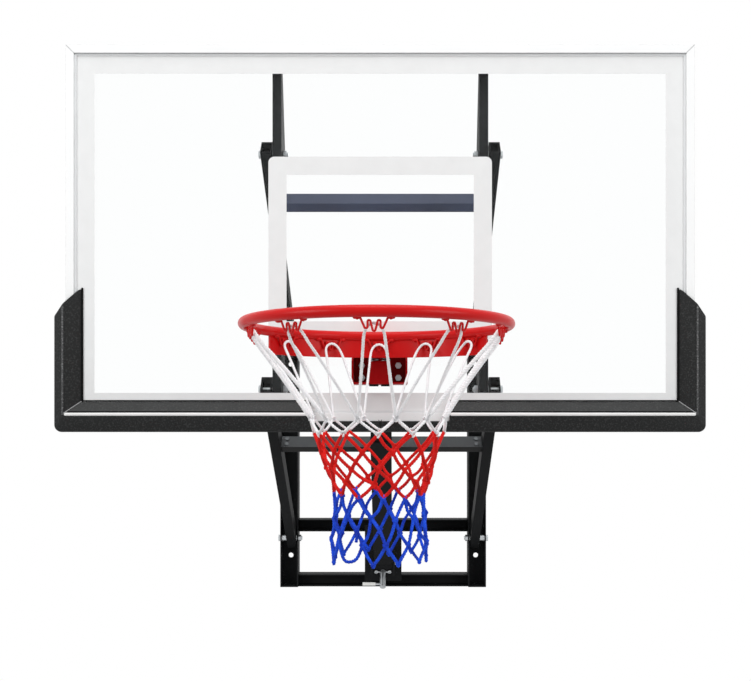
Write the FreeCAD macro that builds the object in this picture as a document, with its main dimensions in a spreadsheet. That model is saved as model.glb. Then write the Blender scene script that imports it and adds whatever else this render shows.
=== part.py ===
"""Wall-mounted, height-adjustable basketball backboard with a sprung rim and net.

Millimetres, +Z up, the board faces -Y and the wall is the plane Y = 0.
The origin is the centre of the four wall bolt holes, on the wall plane.
"""
import FreeCAD
import Part
import math
import os
import re
import Sketcher

sizes = (
    # Wall frame
    ("frame_half", 291), ("frame_height", 716), ("channel_width", 50), ("channel_depth", 50),
    ("steel", 3), ("bar_depth", 40), ("bottom_bar_height", 34), ("top_bar_height", 28),
    ("mid_bar_height", 34), ("mid_bar_rise", 156), ("wall_hole_inset", 83), ("wall_hole_radius", 7),
    # Parallelogram arms
    ("pivot_out", 35), ("pivot_drop", 221), ("pivot_spacing", 537), ("pivot_radius", 5),
    ("arm_length", 640), ("arm_end", 20), ("arm_width", 25), ("arm_depth", 40), ("arm_wall", 2.5),
    ("rest_angle", 40), ("lower_bar_at", 209), ("lower_bar_depth", 33), ("lower_bar_run", 20),
    ("lower_bar_rise", 3.5), ("upper_bar_at", 134), ("upper_bar_depth", 38), ("upper_bar_run", 25),
    ("bar_bolt_inset", 14), ("bar_bolt_pitch", 16), ("bar_bolt_radius", 2.5),
    # Fasteners and clearances
    ("run_gap", 0.05), ("side_gap", 0.2), ("bolt_head", 6.4), ("bolt_hex", 9.2), ("nut_height", 8),
    ("spacer_radius", 9), ("thread_end", 3), ("screw_radius", 3), ("screw_head_radius", 6),
    ("screw_head", 4),
    # Carrier behind the board
    ("post_half", 242), ("post_width", 20), ("post_depth", 66), ("post_tip", 15), ("post_taper", 190),
    ("post_gap", 5), ("pivot_behind_post", 40), ("post_foot", 13), ("post_top_inset", 7),
    ("post_screw_inset", 12), ("carrier_bar_depth", 14), ("carrier_bar_height", 30),
    ("lug_gap", 27), ("lug_thick", 6), ("lug_reach", 48), ("lug_height", 64), ("lug_rise", 2),
    # Board
    ("board_width", 1384), ("board_height", 828), ("board_drop", 71.4), ("frame_deep", 40),
    ("lip_width", 18), ("lip_thick", 3), ("fin_width", 25), ("skin", 3), ("gasket_leg", 3),
    ("gasket_show", 5), ("gasket_web", 2), ("sheet_thick", 6), ("print_thick", 0.3),
    ("border_width", 39), ("target_width", 493), ("target_height", 403), ("target_line", 40),
    ("target_drop", 245), ("target_corner", 13),
    # Edge pad
    ("pad_over", 21), ("pad_under", 24), ("pad_tip_side", 35), ("pad_tip_bottom", 44),
    ("pad_ridge_side", 1), ("pad_ridge_bottom", 15), ("pad_ridge_out", 22), ("pad_edge_out", 12),
    ("pad_tip_lift", 1), ("pad_side_tall", 298), ("pad_side_slope", 68), ("pad_notch_half", 152),
    # Rim bracket and springs
    ("bracket_half", 59), ("bracket_plate", 4), ("bracket_foot", 79), ("bracket_tall", 98),
    ("bracket_reach", 87), ("bracket_nose", 27), ("cheek_front", 48), ("face_half", 24),
    ("face_tall", 48), ("rim_bolt_half", 40), ("rim_bolt_low", 16), ("rim_bolt_pitch", 27),
    ("rim_bolt_radius", 4), ("rim_bolt_hex", 7.5), ("rim_bolt_head", 5),
    ("hinge_out", 13), ("hinge_radius", 5), ("knuckle_radius", 10), ("hinge_gap", 0.5),
    ("spring_half", 12.5), ("spring_out", 57), ("spring_radius", 10), ("spring_wire", 3.2),
    ("spring_turns", 10), ("spring_seat", 0.1), ("guide_radius", 5), ("guide_tall", 50),
    # Rim and net
    ("ring_inner", 225), ("ring_tube", 9.5), ("ring_clear", 151), ("ring_rise", 175),
    ("web_thick", 4), ("web_drop", 6), ("neck_half", 51), ("neck_long", 84), ("skirt_thick", 4),
    ("skirt_drop", 44), ("skirt_half_angle", 62), ("hook_count", 12), ("hook_spread", 10),
    ("hook_wire", 1.8),
    ("hook_half", 24), ("hook_foot", 3), ("hook_fall", 25.5), ("hook_crest", 13.5), ("hook_low", 29.7),
    ("hook_bend_out", 14.1), ("hook_bend_in", 9.9), ("hook_peak", 5.9), ("hook_tip", 1.8),
    ("hook_corner", 2), ("hook_inset", 7), ("net_seat", 0.2), ("net_thick", 5),
    ("net_top_radius", 231), ("net_white_radius", 118),
    ("net_red_radius", 90), ("net_tip_radius", 86), ("net_white_long", 156), ("net_red_long", 118),
    ("net_blue_long", 126), ("net_cord", 3.5),
    # Lifting jack and crank
    ("foot_out", 85), ("foot_rise", 78), ("top_pin_below", 38), ("pin_radius", 6), ("pin_slack", 4),
    ("pin_head_radius", 9), ("pin_head", 4), ("drum_radius", 30), ("drum_half", 26), ("ear_gap", 27),
    ("ear_thick", 6), ("ear_below", 35), ("ear_above", 35), ("ear_front", 30), ("plate_half", 52),
    ("plate_thick", 4), ("plate_lap", 17), ("tube_half", 25), ("tube_wall", 3), ("tube_short", 97),
    ("slide_gap", 0.3), ("rod_wall", 3), ("rod_long", 317), ("rod_past", 16), ("screw_thread", 9),
    ("screw_short", 217), ("screw_seat", 36), ("input_radius", 6), ("input_start", 14),
    ("eye_at", 34), ("eye_half", 18.5), ("eye_radius", 4.2), ("eye_wire", 1.8), ("sleeve_start", 31),
    ("sleeve_radius", 8), ("sleeve_end", 83), ("crank_rod", 3), ("crank_reach", 52), ("crank_back", 10),
    ("grip_radius", 4.5), ("grip_long", 32), ("grip_cap", 3),
)
size = dict(sizes)
functions = ("sin", "cos", "tan", "atan", "sqrt")
first_guess = 10

doc = FreeCAD.newDocument("backboard")
sheet = doc.addObject("Spreadsheet::Sheet", "sizes")
rows = []


def set_size(alias, value):
    """Adds a row to the sheet, named by its alias."""
    rows.append(alias)
    sheet.set("A%d" % len(rows), alias)
    sheet.set("B%d" % len(rows), str(value))
    sheet.setAlias("B%d" % len(rows), alias)


for alias, value in sizes:
    set_size(alias, value)
doc.recompute()

nodes = {}
sides = (("left", -1), ("right", 1))


def bound(text):
    """Points every size word of a formula at the sheet."""
    def point(match):
        word = match.group(0)
        return word if word in functions else "sizes." + word
    return re.sub(r"[a-z][a-z_]+", point, str(text))


def place(item, x=None, y=None, z=None, angle=None):
    for axis, formula in (("x", x), ("y", y), ("z", z)):
        if formula is not None:
            item.setExpression("Placement.Base." + axis, bound(formula))
    if angle is not None:
        item.Placement = FreeCAD.Placement(FreeCAD.Vector(), FreeCAD.Rotation(FreeCAD.Vector(1, 0, 0), -30))
        item.setExpression("Placement.Rotation.Angle", bound(angle))
    return item


def box(name, x, y, z):
    """A block between a low and a high formula on each axis."""
    item = doc.addObject("Part::Box", name)
    for side, (low, high) in (("Length", x), ("Width", y), ("Height", z)):
        item.setExpression(side, bound("(%s) - (%s)" % (high, low)))
    return place(item, x[0], y[0], z[0])


turns = {
    "x": FreeCAD.Rotation(FreeCAD.Vector(0, 1, 0), 90),
    "y": FreeCAD.Rotation(FreeCAD.Vector(1, 0, 0), -90),
    "z": FreeCAD.Rotation(),
}


def along(item, axis, span, at):
    """Sets a primitive that grows along its own Z on a row axis."""
    item.Placement = FreeCAD.Placement(FreeCAD.Vector(), turns[axis])
    item.setExpression("Height", bound("(%s) - (%s)" % (span[1], span[0])))
    spot = list(at)
    spot.insert("xyz".index(axis), span[0])
    return place(item, *spot)


def rod(name, axis, radius, span, at):
    item = doc.addObject("Part::Cylinder", name)
    item.setExpression("Radius", bound(radius))
    return along(item, axis, span, at)


def hexagon(name, axis, radius, span, at):
    item = doc.addObject("Part::Prism", name)
    item.Polygon = 6
    item.setExpression("Circumradius", bound(radius))
    return along(item, axis, span, at)


def join(name, items):
    item = doc.addObject("Part::MultiFuse", name)
    item.Shapes = items
    return item


def cut(name, base, tools):
    item = doc.addObject("Part::Cut", name)
    item.Base = base
    item.Tool = tools[0] if len(tools) == 1 else join(name + "_tools", tools)
    return item


def group(name, items):
    item = doc.addObject("Part::Compound", name)
    item.Links = items
    return item


def solid(name, shape):
    item = doc.addObject("Part::Feature", name)
    item.Shape = shape
    return item


def node(label, item):
    item.Label = label
    nodes[label] = item
    return item


def span(sign, low, high):
    """A range on +X, or its mirror image on -X."""
    return (low, high) if sign > 0 else ("-(%s)" % high, "-(%s)" % low)


def spot(sign, value):
    return value if sign > 0 else "-(%s)" % value


def new_body(name):
    return doc.addObject("PartDesign::Body", name)


def pad(body, name, plane, corners, start, length):
    """Pads a polygon, given by formulas, from a plane of the body's own origin."""
    support = [item for item in body.Origin.OriginFeatures if item.Role == plane][0]
    sketch = body.newObject("Sketcher::SketchObject", name + "_outline")
    sketch.AttachmentSupport = (support, [""])
    sketch.MapMode = "FlatFace"
    sketch.setExpression("AttachmentOffset.Base.z", bound(start))
    count = len(corners)
    ring = [2 * math.pi * index / count for index in range(count)]
    seeds = [FreeCAD.Vector(math.cos(turn), math.sin(turn), 0) * first_guess for turn in ring]
    for index in range(count):
        sketch.addGeometry(Part.LineSegment(seeds[index], seeds[(index + 1) % count]), False)
    for index in range(count):
        sketch.addConstraint(Sketcher.Constraint("Coincident", index, 2, (index + 1) % count, 1))
    for index, corner in enumerate(corners):
        for kind, formula in zip(("DistanceX", "DistanceY"), corner):
            number = sketch.addConstraint(Sketcher.Constraint(kind, -1, 1, index, 1, 1.0))
            sketch.setExpression("Constraints[%d]" % number, bound(formula))
    feature = body.newObject("PartDesign::Pad", name)
    feature.Profile = sketch
    feature.setExpression("Length", bound(length))
    return feature


def tube_along(edges, start, heading, radius):
    """One unbroken round tube along joined edges."""
    circle = Part.Wire([Part.Circle(start, heading, radius).toShape()])
    return Part.Wire(edges).makePipeShell([circle], True, False)


# Places shared by several pieces, as formulas of the sizes
pivot_y = "-pivot_out"
lower_z = "-pivot_drop"
upper_z = "(pivot_spacing - pivot_drop)"
front_y = "(-pivot_out - arm_length * cos(rest_angle))"
front_low_z = "(arm_length * sin(rest_angle) - pivot_drop)"
front_high_z = "(arm_length * sin(rest_angle) - pivot_drop + pivot_spacing)"
channel_in = "(frame_half - channel_width)"
arm_in = "(post_half + post_gap)"
arm_out = "(post_half + post_gap + arm_width)"
pivot_hole = "(pivot_radius + run_gap)"
back_y = "(%s - pivot_behind_post)" % front_y
lip_y = "(%s - frame_deep)" % back_y
sheet_y = "(%s + lip_thick + gasket_leg)" % lip_y
sheet_back_y = "(%s + sheet_thick)" % sheet_y
base_z = "(%s - board_drop)" % front_low_z
crown_z = "(%s + board_height)" % base_z
half_wide = "(board_width / 2)"

# Wall frame
for side, sign in sides:
    outer = box("upright_" + side + "_outer", span(sign, channel_in, "frame_half"),
                ("-channel_depth", "0"), ("-frame_height / 2", "frame_height / 2"))
    hollow = box("upright_" + side + "_hollow",
                 span(sign, channel_in + " + steel", "frame_half - steel"),
                 ("-channel_depth - steel", "-steel"),
                 ("-frame_height / 2 + steel", "frame_height / 2 - steel"))
    holes = [rod("upright_%s_pivot_%s" % (side, name), "x", pivot_hole,
                 span(sign, channel_in + " - steel", "frame_half + steel"), (pivot_y, level))
             for name, level in (("low", lower_z), ("high", upper_z))]
    holes += [rod("upright_%s_hole_%s" % (side, name), "y", "wall_hole_radius", ("-2 * steel", "steel"),
                  (spot(sign, "frame_half - channel_width / 2"), level))
              for name, level in (("low", "wall_hole_inset - frame_height / 2"),
                                  ("high", "frame_height / 2 - wall_hole_inset"))]
    node("upright_" + side, cut("upright_" + side, outer, [hollow] + holes))


def wall_bar(label, low, high):
    """A channel bar between the uprights, open to the front."""
    outer = box(label + "_outer", ("-" + channel_in, channel_in), ("-bar_depth", "0"), (low, high))
    hollow = box(label + "_hollow", ("-%s - steel" % channel_in, channel_in + " + steel"),
                 ("-bar_depth - steel", "-steel"), (low + " + steel", high + " - steel"))
    return node(label, cut(label, outer, [hollow]))


bottom_low = "-frame_height / 2"
bottom_high = "-frame_height / 2 + bottom_bar_height"
mid_low = "mid_bar_rise - frame_height / 2"
mid_high = "mid_bar_rise - frame_height / 2 + mid_bar_height"
wall_bar("wall_bar_bottom", bottom_low, bottom_high)
wall_bar("wall_bar_middle", mid_low, mid_high)
wall_bar("wall_bar_top", "frame_height / 2 - top_bar_height", "frame_height / 2")


def bolts(label, where, low, grip, radius, hole):
    """Hexagon bolts along X with their heads outermost, and the nuts on their inner ends."""
    heads = []
    nuts = []
    for side, sign in sides:
        for name, (y, z) in where:
            tag = "%s_%s_%s" % (label, side, name)
            head = hexagon(tag + "_head", "x", "bolt_hex", span(sign, grip, grip + " + bolt_head"), (y, z))
            shank = rod(tag + "_shank", "x", radius,
                        span(sign, low + " - nut_height - thread_end", grip), (y, z))
            heads.append(join(tag, [head, shank]))
            nut = hexagon(tag + "_nut_body", "x", "bolt_hex", span(sign, low + " - nut_height", low), (y, z))
            bore = rod(tag + "_nut_bore", "x", hole,
                       span(sign, low + " - 2 * nut_height", low + " + nut_height"), (y, z))
            nuts.append(cut(tag + "_nut", nut, [bore]))
    node(label + "_bolts", group(label + "_bolts", heads))
    node(label + "_nuts", group(label + "_nuts", nuts))


def ring_spacer(name, sign, low, high, y, z):
    outer = rod(name + "_outer", "x", "spacer_radius", span(sign, low, high), (y, z))
    bore = rod(name + "_bore", "x", pivot_hole, span(sign, low + " - steel", high + " + steel"), (y, z))
    return cut(name, outer, [bore])


wall_pivots = (("low", (pivot_y, lower_z)), ("high", (pivot_y, upper_z)))
front_pivots = (("low", (front_y, front_low_z)), ("high", (front_y, front_high_z)))
bolts("wall_pivot", wall_pivots, channel_in, "frame_half", "pivot_radius", pivot_hole)
bolts("front_pivot", front_pivots, "(post_half - post_width)", arm_out + " + side_gap",
      "pivot_radius", pivot_hole)
wall_spacers = []
front_spacers = []
for side, sign in sides:
    for name, (y, z) in wall_pivots:
        wall_spacers.append(ring_spacer("wall_washer_%s_%s" % (side, name), sign,
                                        channel_in + " + steel", arm_in + " - side_gap", y, z))
        wall_spacers.append(ring_spacer("wall_sleeve_%s_%s" % (side, name), sign,
                                        arm_out + " + side_gap", "frame_half - steel", y, z))
    for name, (y, z) in front_pivots:
        front_spacers.append(ring_spacer("front_washer_%s_%s" % (side, name), sign,
                                         "post_half", arm_in + " - side_gap", y, z))
node("wall_pivot_spacers", group("wall_pivot_spacers", wall_spacers))
node("front_pivot_spacers", group("front_pivot_spacers", front_spacers))

# Arms, drawn along -Y from their wall pivot and then raised to the rest angle
for level, height in (("lower", lower_z), ("upper", upper_z)):
    for side, sign in sides:
        tag = "%s_arm_%s" % (level, side)
        outer = box(tag + "_outer", span(sign, arm_in, arm_out), ("-arm_length - arm_end", "arm_end"),
                    ("-arm_depth / 2", "arm_depth / 2"))
        hollow = box(tag + "_hollow", span(sign, arm_in + " + arm_wall", arm_out + " - arm_wall"),
                     ("-arm_length - 2 * arm_end", "2 * arm_end"),
                     ("arm_wall - arm_depth / 2", "arm_depth / 2 - arm_wall"))
        holes = [rod("%s_hole_%s" % (tag, name), "x", pivot_hole,
                     span(sign, arm_in + " - arm_wall", arm_out + " + arm_wall"), (y, "0"))
                 for name, y in (("wall", "0"), ("front", "-arm_length"))]
        node(tag, place(cut(tag, outer, [hollow] + holes), None, pivot_y, height, "-rest_angle"))


def crossbar(label, at, depth, run, rise):
    """A rectangular tube between the arms of one level."""
    middle = "(%s - arm_length)" % at
    outer = box(label + "_outer", ("-" + arm_in, arm_in),
                (middle + " - %s / 2" % run, middle + " + %s / 2" % run),
                ("%s - %s / 2" % (rise, depth), "%s + %s / 2" % (rise, depth)))
    hollow = box(label + "_hollow", ("-%s - steel" % arm_in, arm_in + " + steel"),
                 (middle + " - %s / 2 + arm_wall" % run, middle + " + %s / 2 - arm_wall" % run),
                 ("%s - %s / 2 + arm_wall" % (rise, depth), "%s + %s / 2 - arm_wall" % (rise, depth)))
    return outer, hollow, middle


outer, hollow, middle = crossbar("upper_crossbar", "upper_bar_at", "upper_bar_depth", "upper_bar_run", "0")
node("upper_crossbar", place(cut("upper_crossbar", outer, [hollow]), None, pivot_y, upper_z, "-rest_angle"))
outer, hollow, middle = crossbar("lower_crossbar", "lower_bar_at", "lower_bar_depth", "lower_bar_run",
                                 "lower_bar_rise")
bar_front = "(%s - lower_bar_run / 2)" % middle
bar_holes = []
bar_bolts = []
for side, sign in sides:
    for name, lift in (("low", "lower_bar_rise - bar_bolt_pitch / 2"),
                       ("high", "lower_bar_rise + bar_bolt_pitch / 2")):
        tag = "bar_bolt_%s_%s" % (side, name)
        seat = (spot(sign, arm_in + " - bar_bolt_inset"), lift)
        bar_holes.append(rod(tag + "_hole", "y", "bar_bolt_radius + run_gap",
                             (bar_front + " - arm_wall", bar_front + " + 2 * arm_wall"), seat))
        shank = rod(tag + "_shank", "y", "bar_bolt_radius", (bar_front, bar_front + " + 2 * arm_wall"), seat)
        head = rod(tag + "_head", "y", "2 * bar_bolt_radius",
                   (bar_front + " - bar_bolt_radius", bar_front), seat)
        bar_bolts.append(join(tag, [head, shank]))
node("lower_crossbar", place(cut("lower_crossbar", outer, [hollow] + bar_holes), None, pivot_y, lower_z,
                             "-rest_angle"))
node("lower_crossbar_bolts", place(group("lower_crossbar_bolts", bar_bolts), None, pivot_y, lower_z,
                                   "-rest_angle"))

# Posts and lower bar behind the board
post_screws = []
frame_holes = {"top": [], "bottom": []}
post_low = "(%s - post_foot)" % base_z
post_high = "(%s - post_top_inset)" % crown_z
fin_y = "(%s - skin)" % back_y
screw_levels = (("bottom", base_z + " + post_screw_inset"), ("top", crown_z + " - post_screw_inset"))
for side, sign in sides:
    body = new_body("post_%s_body" % side)
    profile = ((back_y, post_low), (back_y + " + post_depth", post_low),
               (back_y + " + post_depth", post_high + " - post_taper"),
               (back_y + " + post_tip", post_high), (back_y, post_high))
    pad(body, "post_%s_side" % side, "YZ_Plane", profile,
        span(sign, "post_half - post_width", "post_half")[0], "post_width")
    tools = [box("post_%s_hollow" % side,
                 span(sign, "post_half - post_width + steel", "post_half - steel"),
                 (back_y + " + steel", back_y + " + 2 * post_depth"),
                 (post_low + " - steel", post_high + " + steel"))]
    tools += [rod("post_%s_pivot_%s" % (side, name), "x", pivot_hole,
                  span(sign, "post_half - 2 * post_width", "post_half + steel"), (y, z))
              for name, (y, z) in front_pivots]
    for name, level in screw_levels:
        tag = "post_screw_%s_%s" % (side, name)
        seat = (spot(sign, "post_half - post_width / 2"), level)
        tools.append(rod(tag + "_post_hole", "y", "screw_radius + run_gap",
                         (back_y + " - steel", back_y + " + 2 * steel"), seat))
        frame_holes[name].append(rod(tag + "_frame_hole", "y", "screw_radius + run_gap",
                                     (fin_y + " - skin", back_y + " + skin"), seat))
        shank = rod(tag + "_shank", "y", "screw_radius", (fin_y, back_y + " + steel"), seat)
        head = rod(tag + "_head", "y", "screw_head_radius",
                   (back_y + " + steel", back_y + " + steel + screw_head"), seat)
        post_screws.append(join(tag, [shank, head]))
    node("post_" + side, cut("post_" + side, body, tools))
node("post_screws", group("post_screws", post_screws))
bar_low = post_low
node("carrier_bar", box("carrier_bar", ("post_width - post_half", "post_half - post_width"),
                        (back_y, back_y + " + carrier_bar_depth"),
                        (bar_low, bar_low + " + carrier_bar_height")))
bar_back = "(%s + carrier_bar_depth)" % back_y
top_pin_z = "(%s - top_pin_below)" % front_low_z
lug_tools = [rod("lug_pin_hole", "x", "pin_radius + run_gap", ("-2 * lug_gap", "2 * lug_gap"),
                 (front_y, top_pin_z))]
lugs = [box("jack_lug_" + side, span(sign, "lug_gap", "lug_gap + lug_thick"),
            (bar_back, bar_back + " + lug_reach"),
            (bar_low + " + lug_rise", bar_low + " + lug_rise + lug_height"))
        for side, sign in sides]
node("jack_lugs", cut("jack_lugs", group("jack_lug_pair", lugs), lug_tools))


def headed_pin(label, half, y, z):
    """A plain pin along X with a flat head at each end."""
    shank = rod(label + "_shank", "x", "pin_radius", ("-(%s)" % half, half), (y, z))
    heads = [rod("%s_head_%s" % (label, side), "x", "pin_head_radius",
                 span(sign, half, half + " + pin_head"), (y, z)) for side, sign in sides]
    return node(label, join(label, [shank] + heads))


headed_pin("jack_top_pin", "lug_gap + lug_thick", front_y, top_pin_z)

# Board frame, four mitred channels with three inward fins each
fins = (("wall", "skin", "0", "frame_deep"), ("lip", "lip_width", "0", "lip_thick"),
        ("mid", "fin_width", "lip_thick + 2 * gasket_leg + sheet_thick", "skin"),
        ("rear", "fin_width", "frame_deep - skin", "skin"))
lip_front = "(-(%s))" % lip_y
for name in ("top", "bottom", "left", "right"):
    body = new_body("frame_%s_body" % name)
    for part, width, behind, thick in fins:
        inner_x = "(%s - %s)" % (half_wide, width)
        inner_low = "(%s + %s)" % (base_z, width)
        inner_high = "(%s - %s)" % (crown_z, width)
        outlines = {
            "top": (("-" + half_wide, crown_z), (half_wide, crown_z), (inner_x, inner_high),
                    ("-" + inner_x, inner_high)),
            "bottom": (("-" + half_wide, base_z), (half_wide, base_z), (inner_x, inner_low),
                       ("-" + inner_x, inner_low)),
            "left": (("-" + half_wide, base_z), ("-" + half_wide, crown_z), ("-" + inner_x, inner_high),
                     ("-" + inner_x, inner_low)),
            "right": ((half_wide, base_z), (half_wide, crown_z), (inner_x, inner_high),
                      (inner_x, inner_low)),
        }
        pad(body, "frame_%s_%s" % (name, part), "XZ_Plane", outlines[name],
            "%s - (%s) - (%s)" % (lip_front, behind, thick), thick)
    drilled = frame_holes.get(name)
    node("frame_" + name, cut("frame_" + name, body, drilled) if drilled else body)


def panel(name, inset, y, thick):
    """A rectangle parallel to the board, inset from its outer edge."""
    return box(name, ("%s - %s" % (inset, half_wide), "%s - %s" % (half_wide, inset)),
               (y, "%s + %s" % (y, thick)), ("%s + %s" % (base_z, inset), "%s - %s" % (crown_z, inset)))


gasket_y = "(%s + lip_thick)" % lip_y
gasket_deep = "(2 * gasket_leg + sheet_thick)"
sheet_inset = "(skin + gasket_web)"
print_inset = "(lip_width + gasket_show)"
gasket = panel("gasket_outer", "skin", gasket_y, gasket_deep)
window = panel("gasket_window", print_inset, gasket_y + " - skin", gasket_deep + " + 2 * skin")
groove = panel("gasket_groove", sheet_inset, sheet_y, "sheet_thick")
node("gasket", cut("gasket", gasket, [window, groove]))
bracket_low = "(%s + bracket_foot)" % base_z
rim_bolt_seats = [(side + "_" + name, spot(sign, "rim_bolt_half"), level) for side, sign in sides
                  for name, level in (("low", bracket_low + " + rim_bolt_low"),
                                      ("high", bracket_low + " + rim_bolt_low + rim_bolt_pitch"))]
sheet_holes = [rod("sheet_hole_" + name, "y", "rim_bolt_radius + run_gap",
                   (sheet_y + " - sheet_thick", sheet_back_y + " + sheet_thick"), (x, z))
               for name, x, z in rim_bolt_seats]
sheet_blank = panel("sheet_blank", sheet_inset, sheet_y, "sheet_thick")
node("board_sheet", cut("board_sheet", sheet_blank, sheet_holes))
print_y = "(%s - print_thick)" % sheet_y
border = panel("border_outer", print_inset, print_y, "print_thick")
border_inset = "(%s + border_width)" % print_inset
border_window = panel("border_window", border_inset, print_y + " - skin", "2 * skin")
node("border_stripe", cut("border_stripe", border, [border_window]))
target_high = "(%s - target_drop)" % crown_z
target_low = "(%s - target_height)" % target_high
print_span = (print_y, sheet_y)
through = (print_y + " - skin", sheet_y + " + skin")
target_blank = join("target_blank", [
    box("target_lower", ("-target_width / 2", "target_width / 2"), print_span,
        (target_low, target_high + " - target_corner")),
    box("target_upper", ("target_corner - target_width / 2", "target_width / 2 - target_corner"), print_span,
        (target_low, target_high)),
    rod("target_corner_left", "y", "target_corner", print_span,
        ("target_corner - target_width / 2", target_high + " - target_corner")),
    rod("target_corner_right", "y", "target_corner", print_span,
        ("target_width / 2 - target_corner", target_high + " - target_corner")),
])
node("target_stripe", cut("target_stripe", target_blank, [
    box("target_window", ("target_line - target_width / 2", "target_width / 2 - target_line"), through,
        (target_low + " + target_line", target_high + " - target_line"))]))

# Edge pad: an L on each side, its outline carried down the side and along the bottom
rest = math.radians(size["rest_angle"])
front_at = -size["pivot_out"] - size["arm_length"] * math.cos(rest)
base_at = size["arm_length"] * math.sin(rest) - size["pivot_drop"] - size["board_drop"]
back_at = front_at - size["pivot_behind_post"]
lip_at = back_at - size["frame_deep"]
sheet_at = lip_at + size["lip_thick"] + size["gasket_leg"]
edge_at = size["board_width"] / 2
pad_profile = (
    (-size["pad_tip_side"], size["pad_tip_bottom"], sheet_at - size["pad_tip_lift"]),
    (-size["pad_ridge_side"], size["pad_ridge_bottom"], lip_at - size["pad_ridge_out"]),
    (size["pad_over"], -size["pad_under"], lip_at - size["pad_edge_out"]),
    (size["pad_over"], -size["pad_under"], back_at),
    (0.0, 0.0, back_at),
    (0.0, 0.0, lip_at),
    (-size["lip_width"], size["lip_width"], lip_at),
)
slope = size["pad_side_slope"] / (size["pad_tip_side"] + size["pad_over"])
tip_at = base_at + size["pad_side_tall"]


def pad_rings(sign):
    """Corner points of the pad at its slanted top, at the mitre and at the middle of the board."""
    top = []
    mitre = []
    middle = []
    for out, up, y in pad_profile:
        x = sign * (edge_at + out)
        top.append(FreeCAD.Vector(x, y, tip_at - slope * (out + size["pad_tip_side"])))
        mitre.append(FreeCAD.Vector(x, y, base_at + up))
        middle.append(FreeCAD.Vector(0, y, base_at + up))
    return top, mitre, middle


def polygon_face(points):
    return Part.Face(Part.makePolygon(list(points) + [points[0]]))


for side, sign in sides:
    top, mitre, middle = pad_rings(sign)
    count = len(top)
    faces = [polygon_face(top), polygon_face(middle)]
    for index in range(count):
        after = (index + 1) % count
        faces.append(polygon_face((top[index], top[after], mitre[after], mitre[index])))
        faces.append(polygon_face((mitre[index], mitre[after], middle[after], middle[index])))
    block = Part.makeSolid(Part.makeShell(faces))
    if block.Volume < 0:
        block.reverse()
    notch = box("pad_%s_notch" % side, ("-pad_notch_half", "pad_notch_half"),
                (lip_y + " - 2 * pad_ridge_out", back_y), (base_z, base_z + " + 2 * pad_tip_bottom"))
    node("pad_" + side, cut("pad_" + side, solid("pad_%s_block" % side, block), [notch]))

# Rim bracket, fixed to the board
bracket_y = "(%s - bracket_plate)" % sheet_y
bracket_high = "(%s + bracket_tall)" % bracket_low
shelf_top = "(%s + bracket_plate)" % bracket_low
reach_y = "(%s - bracket_reach)" % bracket_y
ring_z = "(%s + ring_rise)" % base_z
ring_radius = "(ring_inner + ring_tube)"
ring_y = "(%s - ring_clear - ring_inner)" % sheet_y
web_low = "(%s - web_drop - web_thick)" % ring_z
hinge_y = "(%s - hinge_out)" % bracket_y
hinge_z = "(%s + web_thick / 2)" % web_low
bracket_parts = [
    box("bracket_back", ("-bracket_half", "bracket_half"), (bracket_y, sheet_y),
        (bracket_low, bracket_high)),
    box("bracket_shelf", ("-bracket_half", "bracket_half"), (reach_y, sheet_y), (bracket_low, shelf_top)),
    box("bracket_face", ("-face_half", "face_half"), (reach_y, reach_y + " + bracket_plate"),
        (bracket_low, bracket_low + " + face_tall")),
]
for side, sign in sides:
    body = new_body("bracket_cheek_" + side)
    outline = ((sheet_y, bracket_low), (reach_y, bracket_low), (reach_y, bracket_low + " + cheek_front"),
               (bracket_y + " - bracket_nose", bracket_high), (sheet_y, bracket_high))
    pad(body, "cheek_" + side, "YZ_Plane", outline,
        span(sign, "bracket_half - bracket_plate", "bracket_half")[0], "bracket_plate")
    bracket_parts.append(body)
bracket_tools = [rod("bracket_hole_" + name, "y", "rim_bolt_radius + run_gap",
                     (bracket_y + " - bracket_plate", sheet_y + " + bracket_plate"), (x, z))
                 for name, x, z in rim_bolt_seats]
bracket_tools.append(rod("bracket_hinge_hole", "x", "hinge_radius + run_gap",
                         ("-2 * bracket_half", "2 * bracket_half"), (hinge_y, hinge_z)))
spring_y = "(%s - spring_out)" % bracket_y
bracket_tools += [rod("bracket_guide_hole_" + side, "z", "guide_radius + run_gap",
                      (bracket_low + " - bracket_plate", shelf_top + " + bracket_plate"),
                      (spot(sign, "spring_half"), spring_y)) for side, sign in sides]
node("rim_bracket", cut("rim_bracket", join("rim_bracket_blank", bracket_parts), bracket_tools))
rim_bolts = []
rim_nuts = []
for name, x, z in rim_bolt_seats:
    head = hexagon("rim_bolt_%s_head" % name, "y", "rim_bolt_hex",
                   (bracket_y + " - rim_bolt_head", bracket_y), (x, z))
    shank = rod("rim_bolt_%s_shank" % name, "y", "rim_bolt_radius",
                (bracket_y, sheet_back_y + " + nut_height + thread_end"), (x, z))
    rim_bolts.append(join("rim_bolt_" + name, [head, shank]))
    nut = hexagon("rim_nut_%s_body" % name, "y", "rim_bolt_hex",
                  (sheet_back_y, sheet_back_y + " + nut_height"), (x, z))
    bore = rod("rim_nut_%s_bore" % name, "y", "rim_bolt_radius + run_gap",
               (sheet_y, sheet_back_y + " + 2 * nut_height"), (x, z))
    rim_nuts.append(cut("rim_nut_" + name, nut, [bore]))
node("rim_bolts", group("rim_bolts", rim_bolts))
node("rim_nuts", group("rim_nuts", rim_nuts))
pin_ends = [rod("hinge_pin_head_" + side, "x", "hinge_radius + bracket_plate",
                span(sign, "bracket_half", "bracket_half + bracket_plate"), (hinge_y, hinge_z))
            for side, sign in sides]
node("rim_hinge_pin", join("rim_hinge_pin", pin_ends + [
    rod("hinge_pin_shank", "x", "hinge_radius", ("-bracket_half", "bracket_half"), (hinge_y, hinge_z))]))
guides = []
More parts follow.
